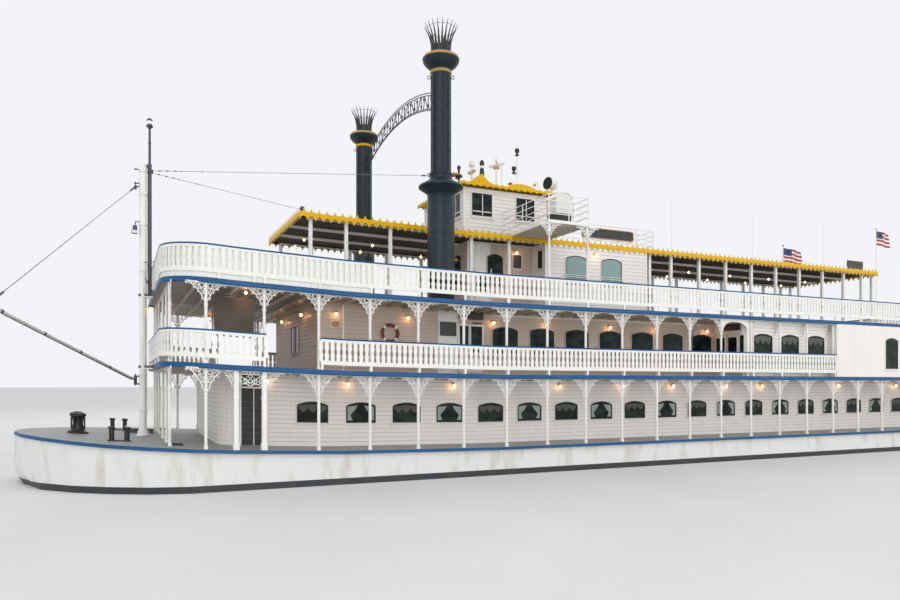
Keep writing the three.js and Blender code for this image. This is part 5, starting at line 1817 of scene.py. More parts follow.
def wheel_frame(y, width):
    """One frame of the wheel: arms with taper, two rings, a hub with a bolted flange."""
    made = Shape()
    half_width = width / 2
    arm = Shape().rings([
        [(r, -half_width, -half), (r, half_width, -half), (r, half_width, half), (r, -half_width, half)]
        for r, half in ((0.42, 0.085), (1.6, 0.075), (3.12, 0.06))
    ])
    for k in range(WHEEL_ARMS):
        made.join(about_wheel(arm, TAU * k / WHEEL_ARMS), move=(WHEEL_STATION, y, WHEEL_HEIGHT))
    for low, high in (WHEEL_RIM, (2.06, 2.16)):
        made.rings([
            [(WHEEL_STATION + r * c, y + side * width * 0.62, WHEEL_HEIGHT + r * s)
             for r, side in ((low, -1), (high, -1), (high, 1), (low, 1))]
            for c, s in round_about(64)
        ], closed=True)
    for radius, half in ((0.5, width * 0.9), (0.66, width * 0.58)):
        made.join(cross_drum(radius, y - half, y + half, 28))
    for k in range(12):
        turn = TAU * (k + 0.5) / 12
        spot = (WHEEL_STATION + 0.58 * math.cos(turn), WHEEL_HEIGHT + 0.58 * math.sin(turn))
        made.join(cross_drum(0.035, y - width * 0.72, y + width * 0.72, 6, spot))
    return made


def cross_drum(radius, low, high, sides=24, spot=(WHEEL_STATION, WHEEL_HEIGHT)):
    """A drum with its axis across the boat, at the wheel's axis or at a given (station, height)."""
    outline = [(spot[0] + radius * c, spot[1] + radius * s) for c, s in round_about(sides)]
    return Shape().prism(outline, low, high)


def bucket_board():
    """One bucket: three planks on edge, with the strap irons that hold it to the frames."""
    low, high = BUCKET
    made = Shape()
    step = (high - low) / 3
    for i in range(3):
        made.box((low + i * step + 0.006, low + (i + 1) * step - 0.006), (-3.64, 3.64), (-0.028, 0.028), 1)
    for y in (-WHEEL_SIDE, -WHEEL_SIDE / 2, 0.0, WHEEL_SIDE / 2, WHEEL_SIDE):
        made.box((low + 0.03, high - 0.05), (y - 0.035, y + 0.035), (0.027, 0.045), 2)
        for r in (low + 0.12, high - 0.14):
            made.box((r - 0.03, r + 0.03), (y - 0.03, y + 0.03), (0.044, 0.062), 2)
    return made


def make_wheel():
    frames = Shape()
    for y, width in WHEEL_FRAMES:
        frames.join(wheel_frame(y, width))
    for k in range(WHEEL_ARMS):
        frames.join(about_wheel(bucket_board(), TAU * k / WHEEL_ARMS), move=(WHEEL_STATION, 0, WHEEL_HEIGHT))
    build("paddle_wheel_boards", frames, [wheel_red, bucket_wood, black], body="wheel", sheered=False,
          smooth=35, replaces=["paddle_wheel"], slot="wheel_paint")
    shaft = cross_drum(SHAFT, -SHAFT_END + 0.02, SHAFT_END - 0.02, 36)
    for y in (-SHAFT_END + 0.015, SHAFT_END - 0.015):
        shaft.join(cross_drum(SHAFT - 0.04, y - 0.015, y + 0.015, 24))
    for y in (-3.78, 3.78):
        shaft.join(cross_drum(SHAFT + 0.06, y - 0.06, y + 0.06, 28))
    build("wheel_shaft_turned", shaft, [steel], body="wheel", sheered=False, smooth=35,
          replaces=["wheel_shaft"], slot="steel")


def make_bearings():
    """Split bearing blocks on the wheel beams."""
    made = Shape()
    cap = [(WHEEL_STATION + 0.46 * c, 4.98 + 0.3 * s) for c, s in round_about(12, math.pi)]
    for y in (-4.25, 4.25):
        made.box((WHEEL_STATION - 0.62, WHEEL_STATION + 0.62), (y - 0.2, y + 0.2), (5.0, 5.05), 0)
        made.prism(cap, y - 0.16, y + 0.16, paint=0)
        for reach in (-0.5, 0.5):
            made.lathe(BEARING_BOLT, (WHEEL_STATION + reach, y), 6, 0)
        made.lathe(GREASE_CUP, (WHEEL_STATION, y), 10, 1)
    build("wheel_bearings", made, [black, brass], sheered=False, smooth=40, slot="black_iron")


make_wheel()
make_bearings()


# Bow mast and its fittings, the boom and the stays

MAST_RADIUS = 0.15
MAST_FOOT = MAIN_DECK + sheer(MAST_STATION - MAST_RADIUS) + 0.001
MAST_TOP = 13.55
TOPMAST_STATION = MAST_STATION + 0.24
LANTERN_BASE = 15.02
PIVOT_STATION = MAST_STATION - 0.27


def floodlight(shape, s, y, z):
    """Two small floodlights on one stalk beside the mast."""
    shape.tube([(MAST_STATION, 0, z + 0.26), (s, y, z + 0.26), (s, y, z - 0.02)], 0.022, 6, 1)
    shape.block((s - 0.02, y - 0.04, z), (0.16, 0.16, 0.17), 1)
    shape.block((s - 0.04, y - 0.09, z - 0.16), (0.22, 0.13, 0.14), 1)
    shape.block((s - 0.04, y - 0.16, z - 0.16), (0.19, 0.02, 0.11), 0)


# Heights of the bands round the mast, each with half its width
MAST_BANDS = [(4.0, 0.05), (5.4, 0.04), (9.4, 0.03), (11.2, 0.03), (12.4, 0.05), (13.3, 0.04)]
# Radius and height over the lantern's base, for its foot, its glass and its cap, with their paints
LANTERN = [
    ([(0.03, -0.06), (0.07, 0.0), (0.13, 0.05), (0.13, 0.08), (0.08, 0.16), (0.03, 0.17)], 1),
    ([(0.05, 0.15), (0.065, 0.17), (0.065, 0.28), (0.04, 0.3)], 2),
    ([(0.05, 0.28), (0.115, 0.3), (0.1, 0.33), (0.03, 0.39), (0.005, 0.39)], 1),
]


def make_mast():
    place = (MAST_STATION, 0)
    mast = Shape()
    shaft, band = MAST_RADIUS - 0.012, MAST_RADIUS + 0.008
    foot = [(0.27, 0.0), (0.27, 0.03), (0.2, 0.04), (0.2, 0.16), (0.16, 0.2), (shaft, 0.3)]
    head = [(shaft, MAST_TOP - 0.05), (0.11, MAST_TOP)]
    mast.lathe([(r, MAST_FOOT + h) for r, h in foot] + head, place, 28)
    for height, half in MAST_BANDS:
        mast.lathe([
            (MAST_RADIUS - 0.015, height - half), (band, height - half + 0.01),
            (band, height + half - 0.01), (MAST_RADIUS - 0.015, height + half),
        ], place, 28)
    topmast = (TOPMAST_STATION, 0)
    mast.lathe([
        (0.02, 8.42), (0.078, 8.42), (0.078, 13.6), (0.05, 13.64), (0.048, 14.4), (0.058, 14.41),
        (0.058, 14.46), (0.045, 14.47), (0.042, LANTERN_BASE), (0.02, LANTERN_BASE),
    ], topmast, 12, 1)
    for profile, paint in LANTERN:
        mast.lathe([(r, LANTERN_BASE + h) for r, h in profile], topmast, 16, paint)
    round_end = round_about(8, math.pi, math.pi / 2)
    for deck in (THIRD_DECK, SECOND_DECK):
        top = deck + sheer(0.0) - 0.02
        for low, high, half, reach, paint in ((0.1, 0.012, 0.13, 0.0, 1), (0.15, 0.1, 0.16, 0.03, 0)):
            outline = [(MAST_STATION + reach + 0.17 * c, half * s) for c, s in round_end]
            outline += [(DECK_FRONT - 0.002, -half), (DECK_FRONT - 0.002, half)]
            mast.prism(outline, top - low, top - high, "z", paint)
    for height in (12.68, 12.8):
        mast.box((PIVOT_STATION - 0.05, MAST_STATION - 0.1), (-0.045, 0.045), (height, height + 0.03), 1)
    mast.lathe([(0.02, 12.55), (0.02, 12.86)], (PIVOT_STATION, 0), 10, 1)
    for low, high in ((5.0, 5.06), (5.3, 5.36)):
        mast.box((PIVOT_STATION - 0.06, MAST_STATION - 0.1), (-0.05, 0.05), (low, high), 1)
    mast.lathe([(0.02, 4.97), (0.02, 5.39)], (PIVOT_STATION, 0), 10, 1)
    mast.ball((PIVOT_STATION, 0, 5.4), 0.03, 8, 1)
    floodlight(mast, MAST_STATION - 0.27, -0.1, 11.05)
    mast.lathe([(0.03, 7.98), (0.1, 8.02), (0.1, 8.06), (0.03, 8.1)], (DECK_FRONT - 0.06, -0.1), 12, 1)
    mast.ball((DECK_FRONT - 0.06, -0.1, 7.95), 0.07, 10, 3)
    mast.tube([(MAST_STATION - 0.1, 0.0, 13.33), (MAST_STATION - 0.26, -0.05, 13.36)], 0.02, 6, 1)
    mast.torus((MAST_STATION - 0.26, -0.05), 13.34, 0.05, 0.014, 12, 6, 1)
    mast.box((MAST_STATION + 0.1, MAST_STATION + 0.24), (-0.06, 0.06), (13.45, 13.56), 1)
    for side in (-1, 1):
        foot = (DECK_FRONT + 0.02, side * 0.12, THIRD_DECK + sheer(0.0) + 0.02)
        for height, end in ((9.75, (DECK_FRONT + 0.03, side * 0.95, 9.66)), (9.2, foot)):
            mast.tube([(MAST_STATION + 0.05, side * 0.1, height), end], 0.018, 6, 1)
    build("bow_mast_fitted", mast, [white, mast_grey, lamp_white, bulb_glow], sheered=False, smooth=35,
          replaces=["bow_mast"], slot="white_paint")


BOOM_LENGTH = 10.0
BOOM_HEADING = math.radians(70)
BOOM_HEEL = 5.18
BOOM_TIP = 6.93
LIFT_EYE = 12.65


def along_boom(reach, height):
    return (PIVOT_STATION - reach * math.cos(BOOM_HEADING), -reach * math.sin(BOOM_HEADING), height)


def eye(shape, low, high, outer, bore):
    """A flat ring round the boom's upright pin."""
    section = [(outer, low), (outer, high), (bore, high), (bore, low)]
    return shape.rings([
        [(PIVOT_STATION + r * cos, r * sin, z) for r, z in section] for cos, sin in round_about(14)
    ], 1, closed=True)


def make_boom():
    def spar(reach):
        return along_boom(reach, BOOM_HEEL + (BOOM_TIP - BOOM_HEEL) * reach / BOOM_LENGTH)

    boom = Shape()
    eye(boom, 5.0606, 5.2994, 0.06, 0.022)
    boom.tube([spar(0.05), spar(0.35)], 0.03, 10, 1)
    boom.tube([spar(r) for r in evenly(0.3, BOOM_LENGTH, 12)], 0.044, 12, 0, end_radius=0.036)
    for reach in (0.45, 2.6, 5.0, 7.4, 9.7):
        boom.tube([spar(reach - 0.04), spar(reach + 0.04)], 0.052, 12, 1)
    under = [Vector(spar(0.5 + (BOOM_LENGTH - 0.8) * i / 16)) - Vector((0, 0, 0.06)) for i in range(17)]
    boom.tube(under, 0.014, 6, 1)
    tip = along_boom(BOOM_LENGTH, 0)
    boom.lathe([(0.035, 6.88), (0.055, 6.9), (0.055, 7.08), (0.035, 7.1)], tip[:2], 12, 1)
    build("boom_spar", boom, [spar_paint, mast_grey], body="boom", sheered=False, smooth=40,
          replaces=["boom"], slot="steel")
    lift = Shape()
    eye(lift, 12.6, 12.66, 0.055, 0.022)
    start = Vector(along_boom(0.05, LIFT_EYE))
    end = Vector(along_boom(BOOM_LENGTH, 7.16))
    lift.tube([start, end], 0.011, 8)
    way = (end - start).normalized()
    for share, half, radius in ((0.02, 0.018, 0.035), (0.045, 0.01, 0.028), (0.97, 0.012, 0.03)):
        middle = start.lerp(end, share)
        lift.tube([middle + way * half * reach for reach in (-8, -5, 5, 8)], radius, 8, 1)
    lift.lathe([(0.05, 7.103), (0.05, 7.19)], tip[:2], 12, 1)
    build("boom_lift_wire", lift, [wire, mast_grey], body="boom", sheered=False, smooth=40,
          replaces=["boom_lift"], slot="wire")


STAY_MAST = 13.33
STAY_CHIMNEY = 13.15
# Distance from the mast, half length and radius of the shackle and clamps
STAY_CLAMPS = [
    (0.34, 0.05, 0.048), (0.65, 0.04, 0.024), (0.95, 0.04, 0.022), (1.25, 0.04, 0.022),
    (1.5, 0.03, 0.018), (2.3, 0.03, 0.018),
]


def make_stays():
    for name, side in (("port", -STACK_SIDE), ("starboard", STACK_SIDE)):
        start = Vector((MAST_STATION, 0, STAY_MAST))
        end = Vector((STACK_STATION, side, STAY_CHIMNEY))
        way = (end - start).normalized()
        reach = (end - start).length
        near, far = start + way * (MAST_RADIUS + 0.01), end - way * (TUBE + 0.01)
        stay = Shape().tube([near, far], 0.0085, 8)
        for place, half, radius in (*STAY_CLAMPS, (reach - TUBE - 0.3, 0.08, 0.03)):
            middle = start + way * place
            stay.tube([middle + way * half * share for share in (-1, -0.7, 0.7, 1)], radius, 8, 1)
        build(f"mast_stay_{name}_wire", stay, [wire, mast_grey], sheered=False, smooth=40,
              replaces=[f"mast_stay_{name}"], slot="wire")


make_mast()
make_boom()
make_stays()


# Lamps with their light, life rings, blank plaques and the gallery's end bay

LAMP_COLOUR = (1.0, 0.42, 0.15)
LAMP_POWER = 1.0
GALLERY_LAMPS = [6.2, 9.1, 12.9, 15.5, 18.85, 21.5, 24.6]
MAIN_LAMPS = [3.6, 6.6, 11.0, 16.05, 19.4, 22.32, 25.64, 28.06, 33.7, 38.4]
GALLERY_LAMP_HEIGHT = 7.58
MAIN_LAMP_HEIGHT = 4.95
TEXAS_LAMPS = [(15.22, 1.88, 11.0), (18.8, 3.01, 11.0)]
FRONT_LAMPS = [(5.58, -1.7, 7.7), (5.58, 2.0, 7.7)]
HANGING_BULBS = [(2.7, y) for y in (-5.3, -1.8, 1.8, 5.3)]
CANOPY_BULBS = [5.85, 8.85, 11.85, 23.85, 26.85, 29.85, 32.85, 35.85]
CANOPY_BULB_SIDES = (-0.5, 1.2)
CANOPY_BULB_HEIGHT = 11.2


def warm_light(name, s, y, z, power=LAMP_POWER):
    light = bpy.data.lights.new(name, "POINT")
    light.energy = power
    light.color = LAMP_COLOUR
    light.shadow_soft_size = 0.04
    lamp = bpy.data.objects.new(name, light)
    lamp.location = model_point(s, y, z, True)
    bpy.context.scene.collection.objects.link(lamp)


def wall_lamp():
    """A bracket lamp that faces -Y: wall plate, arm, small shade and lit globe."""
    lamp = Shape()
    lamp.block((0, -0.012, 0.02), (0.09, 0.024, 0.16), 1)
    lamp.tube([(0, -0.02, 0.06), (0, -0.1, 0.1), (0, -0.15, 0.07)], 0.012, 6, 1)
    lamp.lathe([(0.02, 0.085), (0.08, 0.05), (0.085, 0.04), (0.02, 0.045)], (0, -0.15), 12, 1)
    lamp.ball((0, -0.15, -0.02), 0.06, 10, 2)
    return lamp


def hanging_bulb():
    """A bare lit bulb in a socket under a ceiling."""
    bulb = Shape().lathe([(0.04, 0.0), (0.04, -0.03), (0.025, -0.035), (0.025, -0.08)], (0, 0), 10, 1)
    return bulb.ball((0, 0, -0.13), 0.055, 10, 2)


def make_lamps():
    paints = [black, brass, bulb_glow]
    places = []
    for side, height, stations in (
        (GALLERY_SIDE, GALLERY_LAMP_HEIGHT, GALLERY_LAMPS), (MAIN_WALL, MAIN_LAMP_HEIGHT, MAIN_LAMPS),
    ):
        wall = side + BOARD_LIP
        places += [(s, -wall, height, 0.0) for s in stations] + [(s, wall, height, math.pi) for s in stations]
    for s, wall, height in TEXAS_LAMPS:
        places += [(s, -wall, height, 0.0), (s, wall, height, math.pi)]
    places += [(s, y, z, -math.pi / 2) for s, y, z in FRONT_LAMPS]
    mesh = copies("wall_lamps", wall_lamp(), places, paints)
    settle("wall_lamps", mesh, smooth=40, slot="black_iron")
    for i, (s, y, z, turn) in enumerate(places):
        warm_light(f"warm_{i}", s + 0.17 * math.sin(turn), y - 0.17 * math.cos(turn), z - 0.03)
    under = THIRD_DECK - DECK_DEPTH - 0.002
    bulbs = [(s, y, under) for s, y in HANGING_BULBS]
    mesh = copies("bow_bulbs", hanging_bulb(), bulbs, paints)
    settle("bow_bulbs", mesh, smooth=40, slot="black_iron")
    for i, (s, y, z) in enumerate(bulbs):
        warm_light(f"bow_warm_{i}", s, y, z - 0.2, 1.5)
    places = [(s, y, CANOPY_BULB_HEIGHT) for s in CANOPY_BULBS for y in CANOPY_BULB_SIDES]
    settle("canopy_bulbs", copies("canopy_bulbs", hanging_bulb(), places, paints), sheered=False, smooth=40,
           slot="black_iron")


def life_ring():
    """A life ring in the plane of X and Z, with four bands and its grab line."""
    ring = Shape()
    radius, depth = 0.325, -0.075
    points = [(x, depth, z) for x, z in circle(0, 0, radius, 28)]
    ring.tube(points, 0.066, 10, 0, closed=True)
    for k in range(4):
        start = math.pi / 4 + k * math.pi / 2 - 0.17
        band = [(x, depth, z) for x, z in circle(0, 0, radius, 4, start, 0.34)]
        ring.tube(band, 0.069, 10, 1)
    line = [(x, depth - 0.02, z) for x, z in circle(0, 0, radius + 0.085, 32)]
    ring.tube(line, 0.008, 5, 1, closed=True)
    ring.block((0, -0.02, radius + 0.05), (0.05, 0.04, 0.12), 1)
    return ring


def plate(shape, stations, heights, wall, depth=0.03, paint=0, frame_paint=None, rim=0.05):
    """A plate on a port wall, with a raised rim round it if that has a paint."""
    shape.box(stations, (-wall - depth, -wall + 0.002), heights, paint)
    if frame_paint is not None:
        (low, high), (foot, head) = stations, heights
        tall = (foot - rim, head + rim)
        rims = [((low - rim, low), tall), ((high, high + rim), tall),
                (stations, (foot - rim, foot)), (stations, (head, head + rim))]
        for along, upright in rims:
            shape.box(along, (-wall - depth - 0.012, -wall + 0.002), upright, frame_paint)


LIFE_RING = (8.37, 6.94)
WALL_HEIGHTS = (SECOND_DECK + 0.02, THIRD_DECK - 0.2)
# Stations, heights and distance from the boards, then depth, paint, and the rim's paint and width
GALLERY_PLATES = [
    ((10.42, 11.3), WALL_HEIGHTS, 0.0, 0.012),
    ((10.5, 11.24), (6.95, 7.52), 0.012, 0.02, 2, 0, 0.06),
    ((11.4, 11.8), (6.3, 7.4), 0.0, 0.01, 3, 0, 0.07),
    ((11.4, 11.8), (5.55, 6.1), 0.0, 0.012, 0, 0, 0.05),
    ((11.92, 12.43), (6.3, 7.4), 0.0, 0.01, 3, 0, 0.07),
    ((11.92, 12.43), (5.55, 6.1), 0.0, 0.012, 0, 0, 0.05),
    ((11.38, 12.4), (7.66, 7.98), 0.0, 0.2, 2),
    ((12.0, 12.42), (7.49, 7.56), 0.0, 0.03, 4),
    ((6.05, 6.34), (7.07, 7.29), 0.0, 0.02, 6, 5, 0.02),
    ((6.48, 6.54), WALL_HEIGHTS, 0.0, 0.03),
]


def make_wall_fittings():
    wall = GALLERY_SIDE + BOARD_LIP
    rings = on_sides("life_rings", life_ring(), [LIFE_RING[0]], wall, LIFE_RING[1], [ring_red, white])
    settle("life_rings", rings, smooth=45, slot="white_paint")
    gallery = Shape()
    for stations, heights, out_by, *look in GALLERY_PLATES:
        plate(gallery, stations, heights, wall + out_by, *look)
    gallery.box((12.9, 25.1), (-wall - 0.025, -wall + 0.002), (7.84, 7.92), 0)
    gallery.tube([(9.4, -wall - 0.02, 7.86), (12.9, -wall - 0.02, 7.86)], 0.018, 6, 0)
    paints = [white, black, plaque_dark, glass, ring_red, brass, door_brown]
    build("gallery_fittings", gallery.both_sides(), paints, slot="white_paint")
    texas = Shape()
    wall = FORE_TEXAS_WALL + 0.02
    plate(texas, (15.1, 15.54), (10.3, 10.92), wall, 0.025, 2, 0, 0.03)
    for low, high in ((17.15, 18.45), (19.1, 20.42)):
        for z in (9.9, 9.99):
            texas.tube([(low, -3.1, z), (high, -3.1, z)], 0.014, 6, 0)
        for s in (low + 0.05, (low + high) / 2, high - 0.05):
            texas.tube([(s, -3.1, 9.99), (s, -3.1, 9.84), (s, -3.0, 9.84)], 0.012, 6, 0)
    plate(texas, (13.95, 14.0), (THIRD_DECK + 0.02, 10.2), wall, 0.03, 0)
    texas.box((16.1, 16.13), (-2.82, -2.42), (10.25, 11.05), 3)
    tall, wide = (10.2, 11.1), (-2.82, -2.42)
    rims = [((-2.88, -2.82), tall), ((-2.42, -2.36), tall), (wide, (11.05, 11.1)), (wide, (10.2, 10.25))]
    for y, z in rims:
        texas.box((16.08, 16.13), y, z, 0)
    build("texas_fittings", texas.both_sides(), paints, sheered=False, slot="white_paint")


ARCH_BAY = (GALLERY_END - 1.64, GALLERY_END + 0.04)


def make_gallery_end():
    """The arched last bay of the gallery, and the blank board and pane on the bulkhead behind it."""
    low, high = ARCH_BAY
    head, spring = SECOND_DECK + CEILING - 0.02, SECOND_DECK + 2.0
    middle, half = (low + high) / 2, (high - low) / 2 - 0.05
    outline = [(high, head), (low, head), (low, spring), (low + 0.05, spring)]
    turn = round_about(12, math.pi)[1:-1]
    outline += [(middle - half * cos, spring + 0.5 * sin ** 0.7) for cos, sin in turn]
    outline += [(high - 0.05, spring), (high, spring)]
    end = Shape().prism(outline, -5.945, -5.915)
    end.box((high - 0.1, high), (-5.96, -5.9), (SECOND_DECK + 0.01, head))
    face = GALLERY_END - 0.13
    end.box((face, GALLERY_END - 0.1), (-5.6, -4.5), (7.56, 7.87), 2)
    end.box((face, GALLERY_END - 0.1), (-5.86, -5.56), (6.3, 7.3), 3)
    for y in (-5.86, -5.56):
        end.box((face - 0.01, GALLERY_END - 0.1), (y - 0.03, y + 0.03), (6.25, 7.35), 0)
    build("gallery_ends", end.both_sides(), [white, black, plaque_dark, glass], slot="white_paint")


make_lamps()
make_wall_fittings()
make_gallery_end()


# Flags, aerials and staffs, the canvas screen at the bow, the boarding doorway and the doors' faces

# Name, colour and how dark its folds are
FLAG_CLOTHS = [
    ("flag_red", (0.42, 0.02, 0.03), 0.6), ("flag_white", (0.78, 0.76, 0.74), 0.8),
    ("flag_blue", (0.02, 0.04, 0.17), 0.6),
]
AERIAL_SIDE = -2.8
# Name, station, side, foot and head of each staff, and its flag's size
FLAG_STAFFS = [
    ("roof", 31.3, AERIAL_SIDE, CANOPY_ROOF, 12.45, (1.8, 0.75)),
    ("stern", 43.0, 0.0, THIRD_DECK + 0.01, 14.95, (1.7, 0.9)),
]
# Station and top of each
AERIALS = [(23.58, 14.11), (29.08, 14.18), (34.46, 13.95)]
CLOTH_STEPS = (28, 14)


def cloth(name, corner, size, way, wave, paints, pattern, sheered=False):
    """A thin waving sheet from its hoist; wave is the height of its ripples at the fly."""
    width, height = size
    across, down = CLOTH_STEPS
    corners, faces, chosen = [], [], []
    for j in range(down + 1):
        for i in range(across + 1):
            share, drop = i / across, j / down
            out_by = width * share
            bow = wave * share ** 0.8 * math.sin(9.0 * share + 1.6 * drop)
            sag = wave * 0.5 * share ** 2 * (1 + 0.3 * math.sin(7 * share))
            x = corner[0] + way[0] * out_by - way[1] * bow
            y = corner[1] + way[1] * out_by + way[0] * bow
            corners.append((x, y, corner[2] - height * drop - sag))
            if i < across and j < down:
                a = len(corners) - 1
                faces.append((a, a + 1, a + across + 2, a + across + 1))
                chosen.append(pattern(share, drop))
    return build(name, Shape(corners, faces, chosen), paints, sheered=sheered, smooth=80, slot="white_paint")


def striped(share, drop):
    """A plain canton over seven bands."""
    if share < 0.4 and drop < 0.5:
        return 2
    return int(drop * 7) % 2


def make_flags():
    paints = [woven(name, colour, darker(colour, share)) for name, colour, share in FLAG_CLOTHS]
    staffs = Shape()
    for name, s, y, foot, head, size in FLAG_STAFFS:
        staffs.tube([(s, y, foot), (s, y, head)], 0.03, 8, 0, end_radius=0.02)
        staffs.ball((s, y, head + 0.03), 0.045, 8, 1)
        staffs.lathe([(0.07, foot), (0.07, foot + 0.04), (0.035, foot + 0.1)], (s, y), 10, 0)
        flag = cloth(f"{name}_flag", (s + 0.022, y, head - 0.08), size, (0.985, 0.17), 0.09, paints, striped)
    for s, top in AERIALS:
        staffs.tube([(s, AERIAL_SIDE, CANOPY_ROOF), (s, AERIAL_SIDE, 12.0)], 0.02, 6, 0)
        staffs.tube([(s, AERIAL_SIDE, 12.0), (s, AERIAL_SIDE, top)], 0.013, 6, 0, end_radius=0.006)
        foot = [(0.06, CANOPY_ROOF), (0.06, CANOPY_ROOF + 0.05), (0.03, CANOPY_ROOF + 0.12)]
        staffs.lathe(foot, (s, AERIAL_SIDE), 10, 1)
    staffs.ball((5.2, -2.9, 11.78), 0.1, 12, 1)
    staffs.tube([(5.2, -2.9, CANOPY_ROOF - 0.05), (5.2, -2.9, 11.7)], 0.02, 6, 1)
    build("staffs", staffs, [white, mast_grey], sheered=False, smooth=40, slot="white_paint")


SCREEN = (1.66, 3.06)
SCREEN_SIDE = -5.0
SCREEN_HEIGHTS = (6.4, 7.78)


def make_canvas_screen():
    """A canvas wind screen laced in a pipe frame behind the bow rail."""
    low, high = SCREEN
    foot, head = SCREEN_HEIGHTS
    stand = Shape()
    for s in SCREEN:
        stand.tube([(s, SCREEN_SIDE, SECOND_DECK + 0.005), (s, SCREEN_SIDE, head)], 0.022, 8)
        stand.tube([(s, SCREEN_SIDE, 6.6), (s, SCREEN_SIDE + 0.5, SECOND_DECK + 0.01)], 0.018, 8)
    for z in (foot, head):
        stand.tube([(low, SCREEN_SIDE, z), (high, SCREEN_SIDE, z)], 0.022, 8)
    build("screen_stand", stand, [mast_grey], smooth=40, slot="steel")
    size = (high - low - 0.08, head - foot - 0.08)
    canvas = woven("grey_canvas", (0.115, 0.10, 0.085), (0.07, 0.06, 0.05))
    sheet = cloth("canvas_screen", (low + 0.04, SCREEN_SIDE, head - 0.03), size, (1, 0), 0.025, [canvas],
                  lambda share, drop: 0, True)


def make_boarding_doorway():
    """A flat black plate for the shade of the dark doorway, with its white stair treads, and a dark panel of
    painted shade over it, inside the main deck's forward bay.
    """
    door = Shape()
    wall = MAIN_WALL + BOARD_LIP
    low, high = 2.72, 3.6
    foot, lintel, head = MAIN_DECK + 0.02, MAIN_DECK + 2.05, MAIN_DECK + 2.6
    # Painted shade: a black plate for the unlit doorway, and a dark panel above it for the shade under the
    # deck
    door.box((low, high), (-wall - 0.01, -wall + 0.03), (foot, lintel), 1)
    door.box((low, high), (-wall - 0.01, -wall + 0.03), (lintel + 0.06, head), 2)
    for s0, s1 in ((low - 0.06, low), (high, high + 0.06)):
        door.box((s0, s1), (-wall - 0.05, -wall + 0.03), (foot, head), 0)
    door.box((low, high), (-wall - 0.05, -wall + 0.03), (lintel, lintel + 0.06), 0)
    for k in range(8):
        z = MAIN_DECK + 0.24 + 0.22 * k
        door.box((low, high), (-wall - 0.02, -wall + 0.03), (z, z + 0.022), 3)
    door.box((3.14, 3.17), (-wall - 0.03, -wall + 0.03), (foot, lintel), 0)
    build("boarding_doorways", door.both_sides(), [white, black, shade_lace, mast_grey], slot="white_paint")


PROUD = 0.002


def door_face(shape, width, height, at):
    """A panelled door's two faces: pane, rails and kick panel, a few millimetres proud; at places a point."""
    for z0, z1, paint in ((0.5, 0.93, 1), (0.08, 0.42, 0)):
        shape.box(*at((0.14 * width, 0.86 * width), PROUD), (height * z0, height * z1), paint)
    for z0, z1 in ((0.47, 0.5), (0.93, 0.955)):
        shape.box(*at((0.1 * width, 0.9 * width), PROUD * 1.8), (height * z0, height * z1), 2)
    for x in (0.1, 0.86):
        shape.box(*at((x * width, (x + 0.04) * width), PROUD * 1.8), (height * 0.5, height * 0.93), 2)


DOOR_HEIGHT = 1.99
# Name, thickness and span on the port side, foot, and whether the door stands across the boat
DOORS = [
    ("gallery_door_inner", (25.2, 25.3), (-4.74, -4.02), 5.39, True),
    ("gallery_door_outer", (25.2, 25.3), (-5.48, -4.76), 5.39, True),
    ("texas_door", (-1.9, -1.8), (13.09, 13.89), 8.17, False),
]


def make_door_faces():
    for name, (low, high), span, foot, crosswise in DOORS:
        def at(part, proud):
            along = (span[0] + part[0], span[0] + part[1])
            thick = (low - proud, high + proud)
            return (thick, along) if crosswise else (along, thick)

        local = Shape()
        door_face(local, span[1] - span[0], DOOR_HEIGHT, at)
        face = Shape().join(local, move=(0, 0, foot))
        for side, placed in (("port", face), ("starboard", face.mirrored())):
            build(f"{name}_{side}_faces", placed, [wall_white, glass, white], body=f"{name}_{side}",
                  sheered=False, slot="white_paint")


make_flags()
make_canvas_screen()
make_boarding_doorway()
make_door_faces()


# Mooring bitts, capstan and hatch, the irons on the wheel beams, and the after wall of the main deck

BITTS = [(-1.2, 3.3), (-1.2, -3.3), (42.6, 5.5), (42.6, -5.5)]
CAPSTAN = (-2.6, 0.0)
BEAM_SIDES = (-4.25, 4.25)
BEAM_IRONS = (42.4, 43.6, 45.3, 47.2)
# Foot and head of a wheel beam: (station, height) points
BEAM_FOOT = [(41.5, 2.602), (45.6, 2.602), (51.0, 3.4)]
BEAM_HEAD = [(41.5, 3.3), (44.0, 3.6), (49.05, 4.1)]


def bitt_pair():
    """Two short posts with caps on one bed plate."""
    pair = Shape().block((0, 0, 0.02), (0.75, 0.26, 0.04))
    for x in (-0.24, 0.24):
        profile = [(0.085, 0.03), (0.085, 0.4), (0.12, 0.42), (0.12, 0.47), (0.06, 0.5), (0.0, 0.5)]
        pair.lathe(profile, (x, 0), 14)
    return pair


def capstan():
    made = Shape().lathe([
        (0.36, 0.0), (0.36, 0.06), (0.24, 0.12), (0.17, 0.34), (0.19, 0.56), (0.28, 0.66), (0.28, 0.74),
        (0.1, 0.82), (0.0, 0.82),
    ], (0, 0), 20)
    for k in range(6):
        made.join(Shape().box((0.19, 0.25), (-0.025, 0.025), (0.16, 0.6)), turn=TAU * k / 6)
    return made


def make_deck_gear():
    paints = [black, mast_grey, white]
    deck = MAIN_DECK + 0.002
    gear = [copies("g", bitt_pair(), [(s, y, deck, 0.0) for s, y in BITTS], paints),
            copies("g", capstan(), [(*CAPSTAN, deck, 0.0)], paints)]
    hatch = Shape().box((-0.9, 0.1), (1.7, 2.7), (deck, deck + 0.18), 1)
    hatch.box((-0.95, 0.15), (1.65, 2.75), (deck + 0.18, deck + 0.22), 2)
    for y in (-4.6, 4.6):
        hatch.block((0.5, y, deck + 0.04), (0.5, 0.16, 0.08), 0)
    gear.append(mesh_of("g", hatch, paints))
    settle("deck_gear", joined("deck_gear", gear), smooth=40, slot="black_iron")


def height_at(points, station):
    for (s0, z0), (s1, z1) in zip(points, points[1:]):
        if station <= s1:
            return z0 + (z1 - z0) * (station - s0) / (s1 - s0)


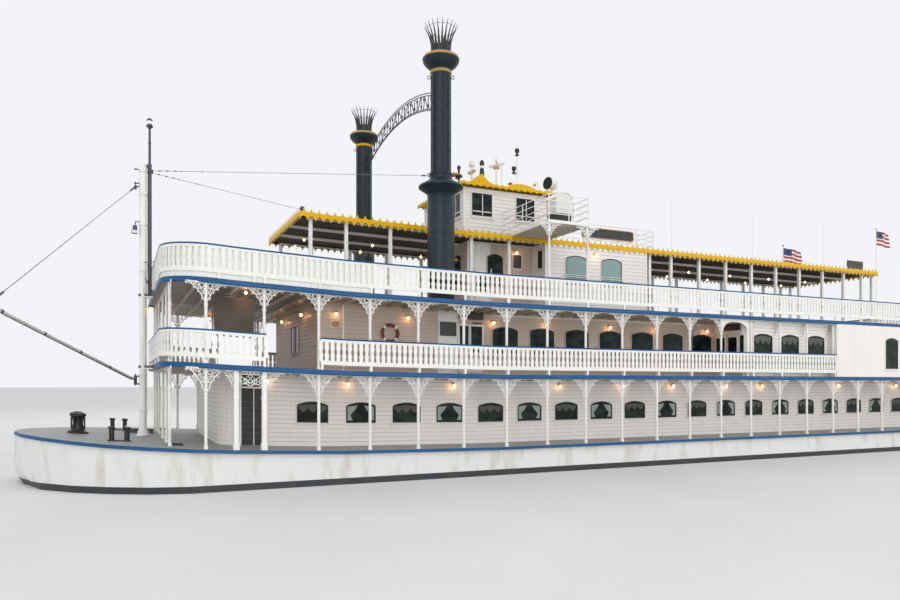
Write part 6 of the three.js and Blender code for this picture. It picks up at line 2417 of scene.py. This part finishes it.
def make_beam_irons():
    """Straps with bolts round the wheel beams."""
    irons = Shape()
    for y in BEAM_SIDES:
        for s in BEAM_IRONS:
            foot, head = height_at(BEAM_FOOT, s), height_at(BEAM_HEAD, s)
            for side in (-1, 1):
                irons.block((s, y + side * 0.256, (foot + head) / 2), (0.1, 0.012, head - foot - 0.02), 0)
            irons.block((s, y, head + 0.006), (0.1, 0.524, 0.012), 0)
            for side in (-1, 1):
                for z in (foot + 0.12, head - 0.12):
                    bolt = cross_drum(0.03, y + side * 0.27 - 0.015, y + side * 0.27 + 0.015, 6, (s, z))
                    irons.join(bolt, paint=1)
    build("beam_irons", irons, [black, mast_grey], sheered=False, slot="black_iron")


def make_after_wall():
    """Double door and windows on the main deck's after wall."""
    wall = MAIN_ENDS[3] - 0.01
    paints = [white, black, glass]
    leaves = (-0.42, 0.42)
    settle("after_wall", joined("after_wall", [
        on_end(window(*FIRST_WINDOW), wall, (-2.9, 2.9), MAIN_DECK, paints),
        on_end(window(*AFTER_DOOR, arched=False), wall, leaves, MAIN_DECK, [white, white, wall_white]),
        on_end(window(*AFTER_DOOR_PANE, arched=False), wall + 0.012, leaves, MAIN_DECK, paints),
    ]), sheered=False, slot="white_paint")


def make_after_board():
    """The small blank board near the canopy's after end."""
    board = Shape().box((36.4, 37.7), (-2.86, -2.8), (11.6, 12.06), 1)
    for s in (36.5, 37.6):
        board.box((s - 0.02, s + 0.02), (-2.8, -2.76), (CANOPY_ROOF, 12.06), 0)
    build("after_board", board, [white, plaque_dark], sheered="whole", slot="white_paint")


make_deck_gear()
make_beam_irons()
make_after_wall()
make_after_board()


# CAD nodes that show keep their shape and take these finishes

FINISHES = {
    "hull": hull_paint,
    "main_deck": deck_paint,
    "second_deck": deck_paint,
    "third_deck": deck_paint,
}


def finish_nodes():
    slots = {row["node"]: row["material_slot"] for row in frame["record"]["subparts"]}
    by_slot = {
        "white_paint": white, "blue_trim": blue, "yellow_trim": yellow, "deck_paint": deck_paint,
        "hull_paint": hull_paint, "chimney_paint": stack_paint, "black_iron": black,
        "wheel_paint": wheel_red, "steel": steel, "wire": wire,
    }
    for name, cad in frame["nodes"].items():
        paint = FINISHES.get(name, by_slot[slots[name]])
        if cad.data.materials:
            for i in range(len(cad.data.materials)):
                cad.data.materials[i] = paint
        else:
            cad.data.materials.append(paint)


finish_nodes()
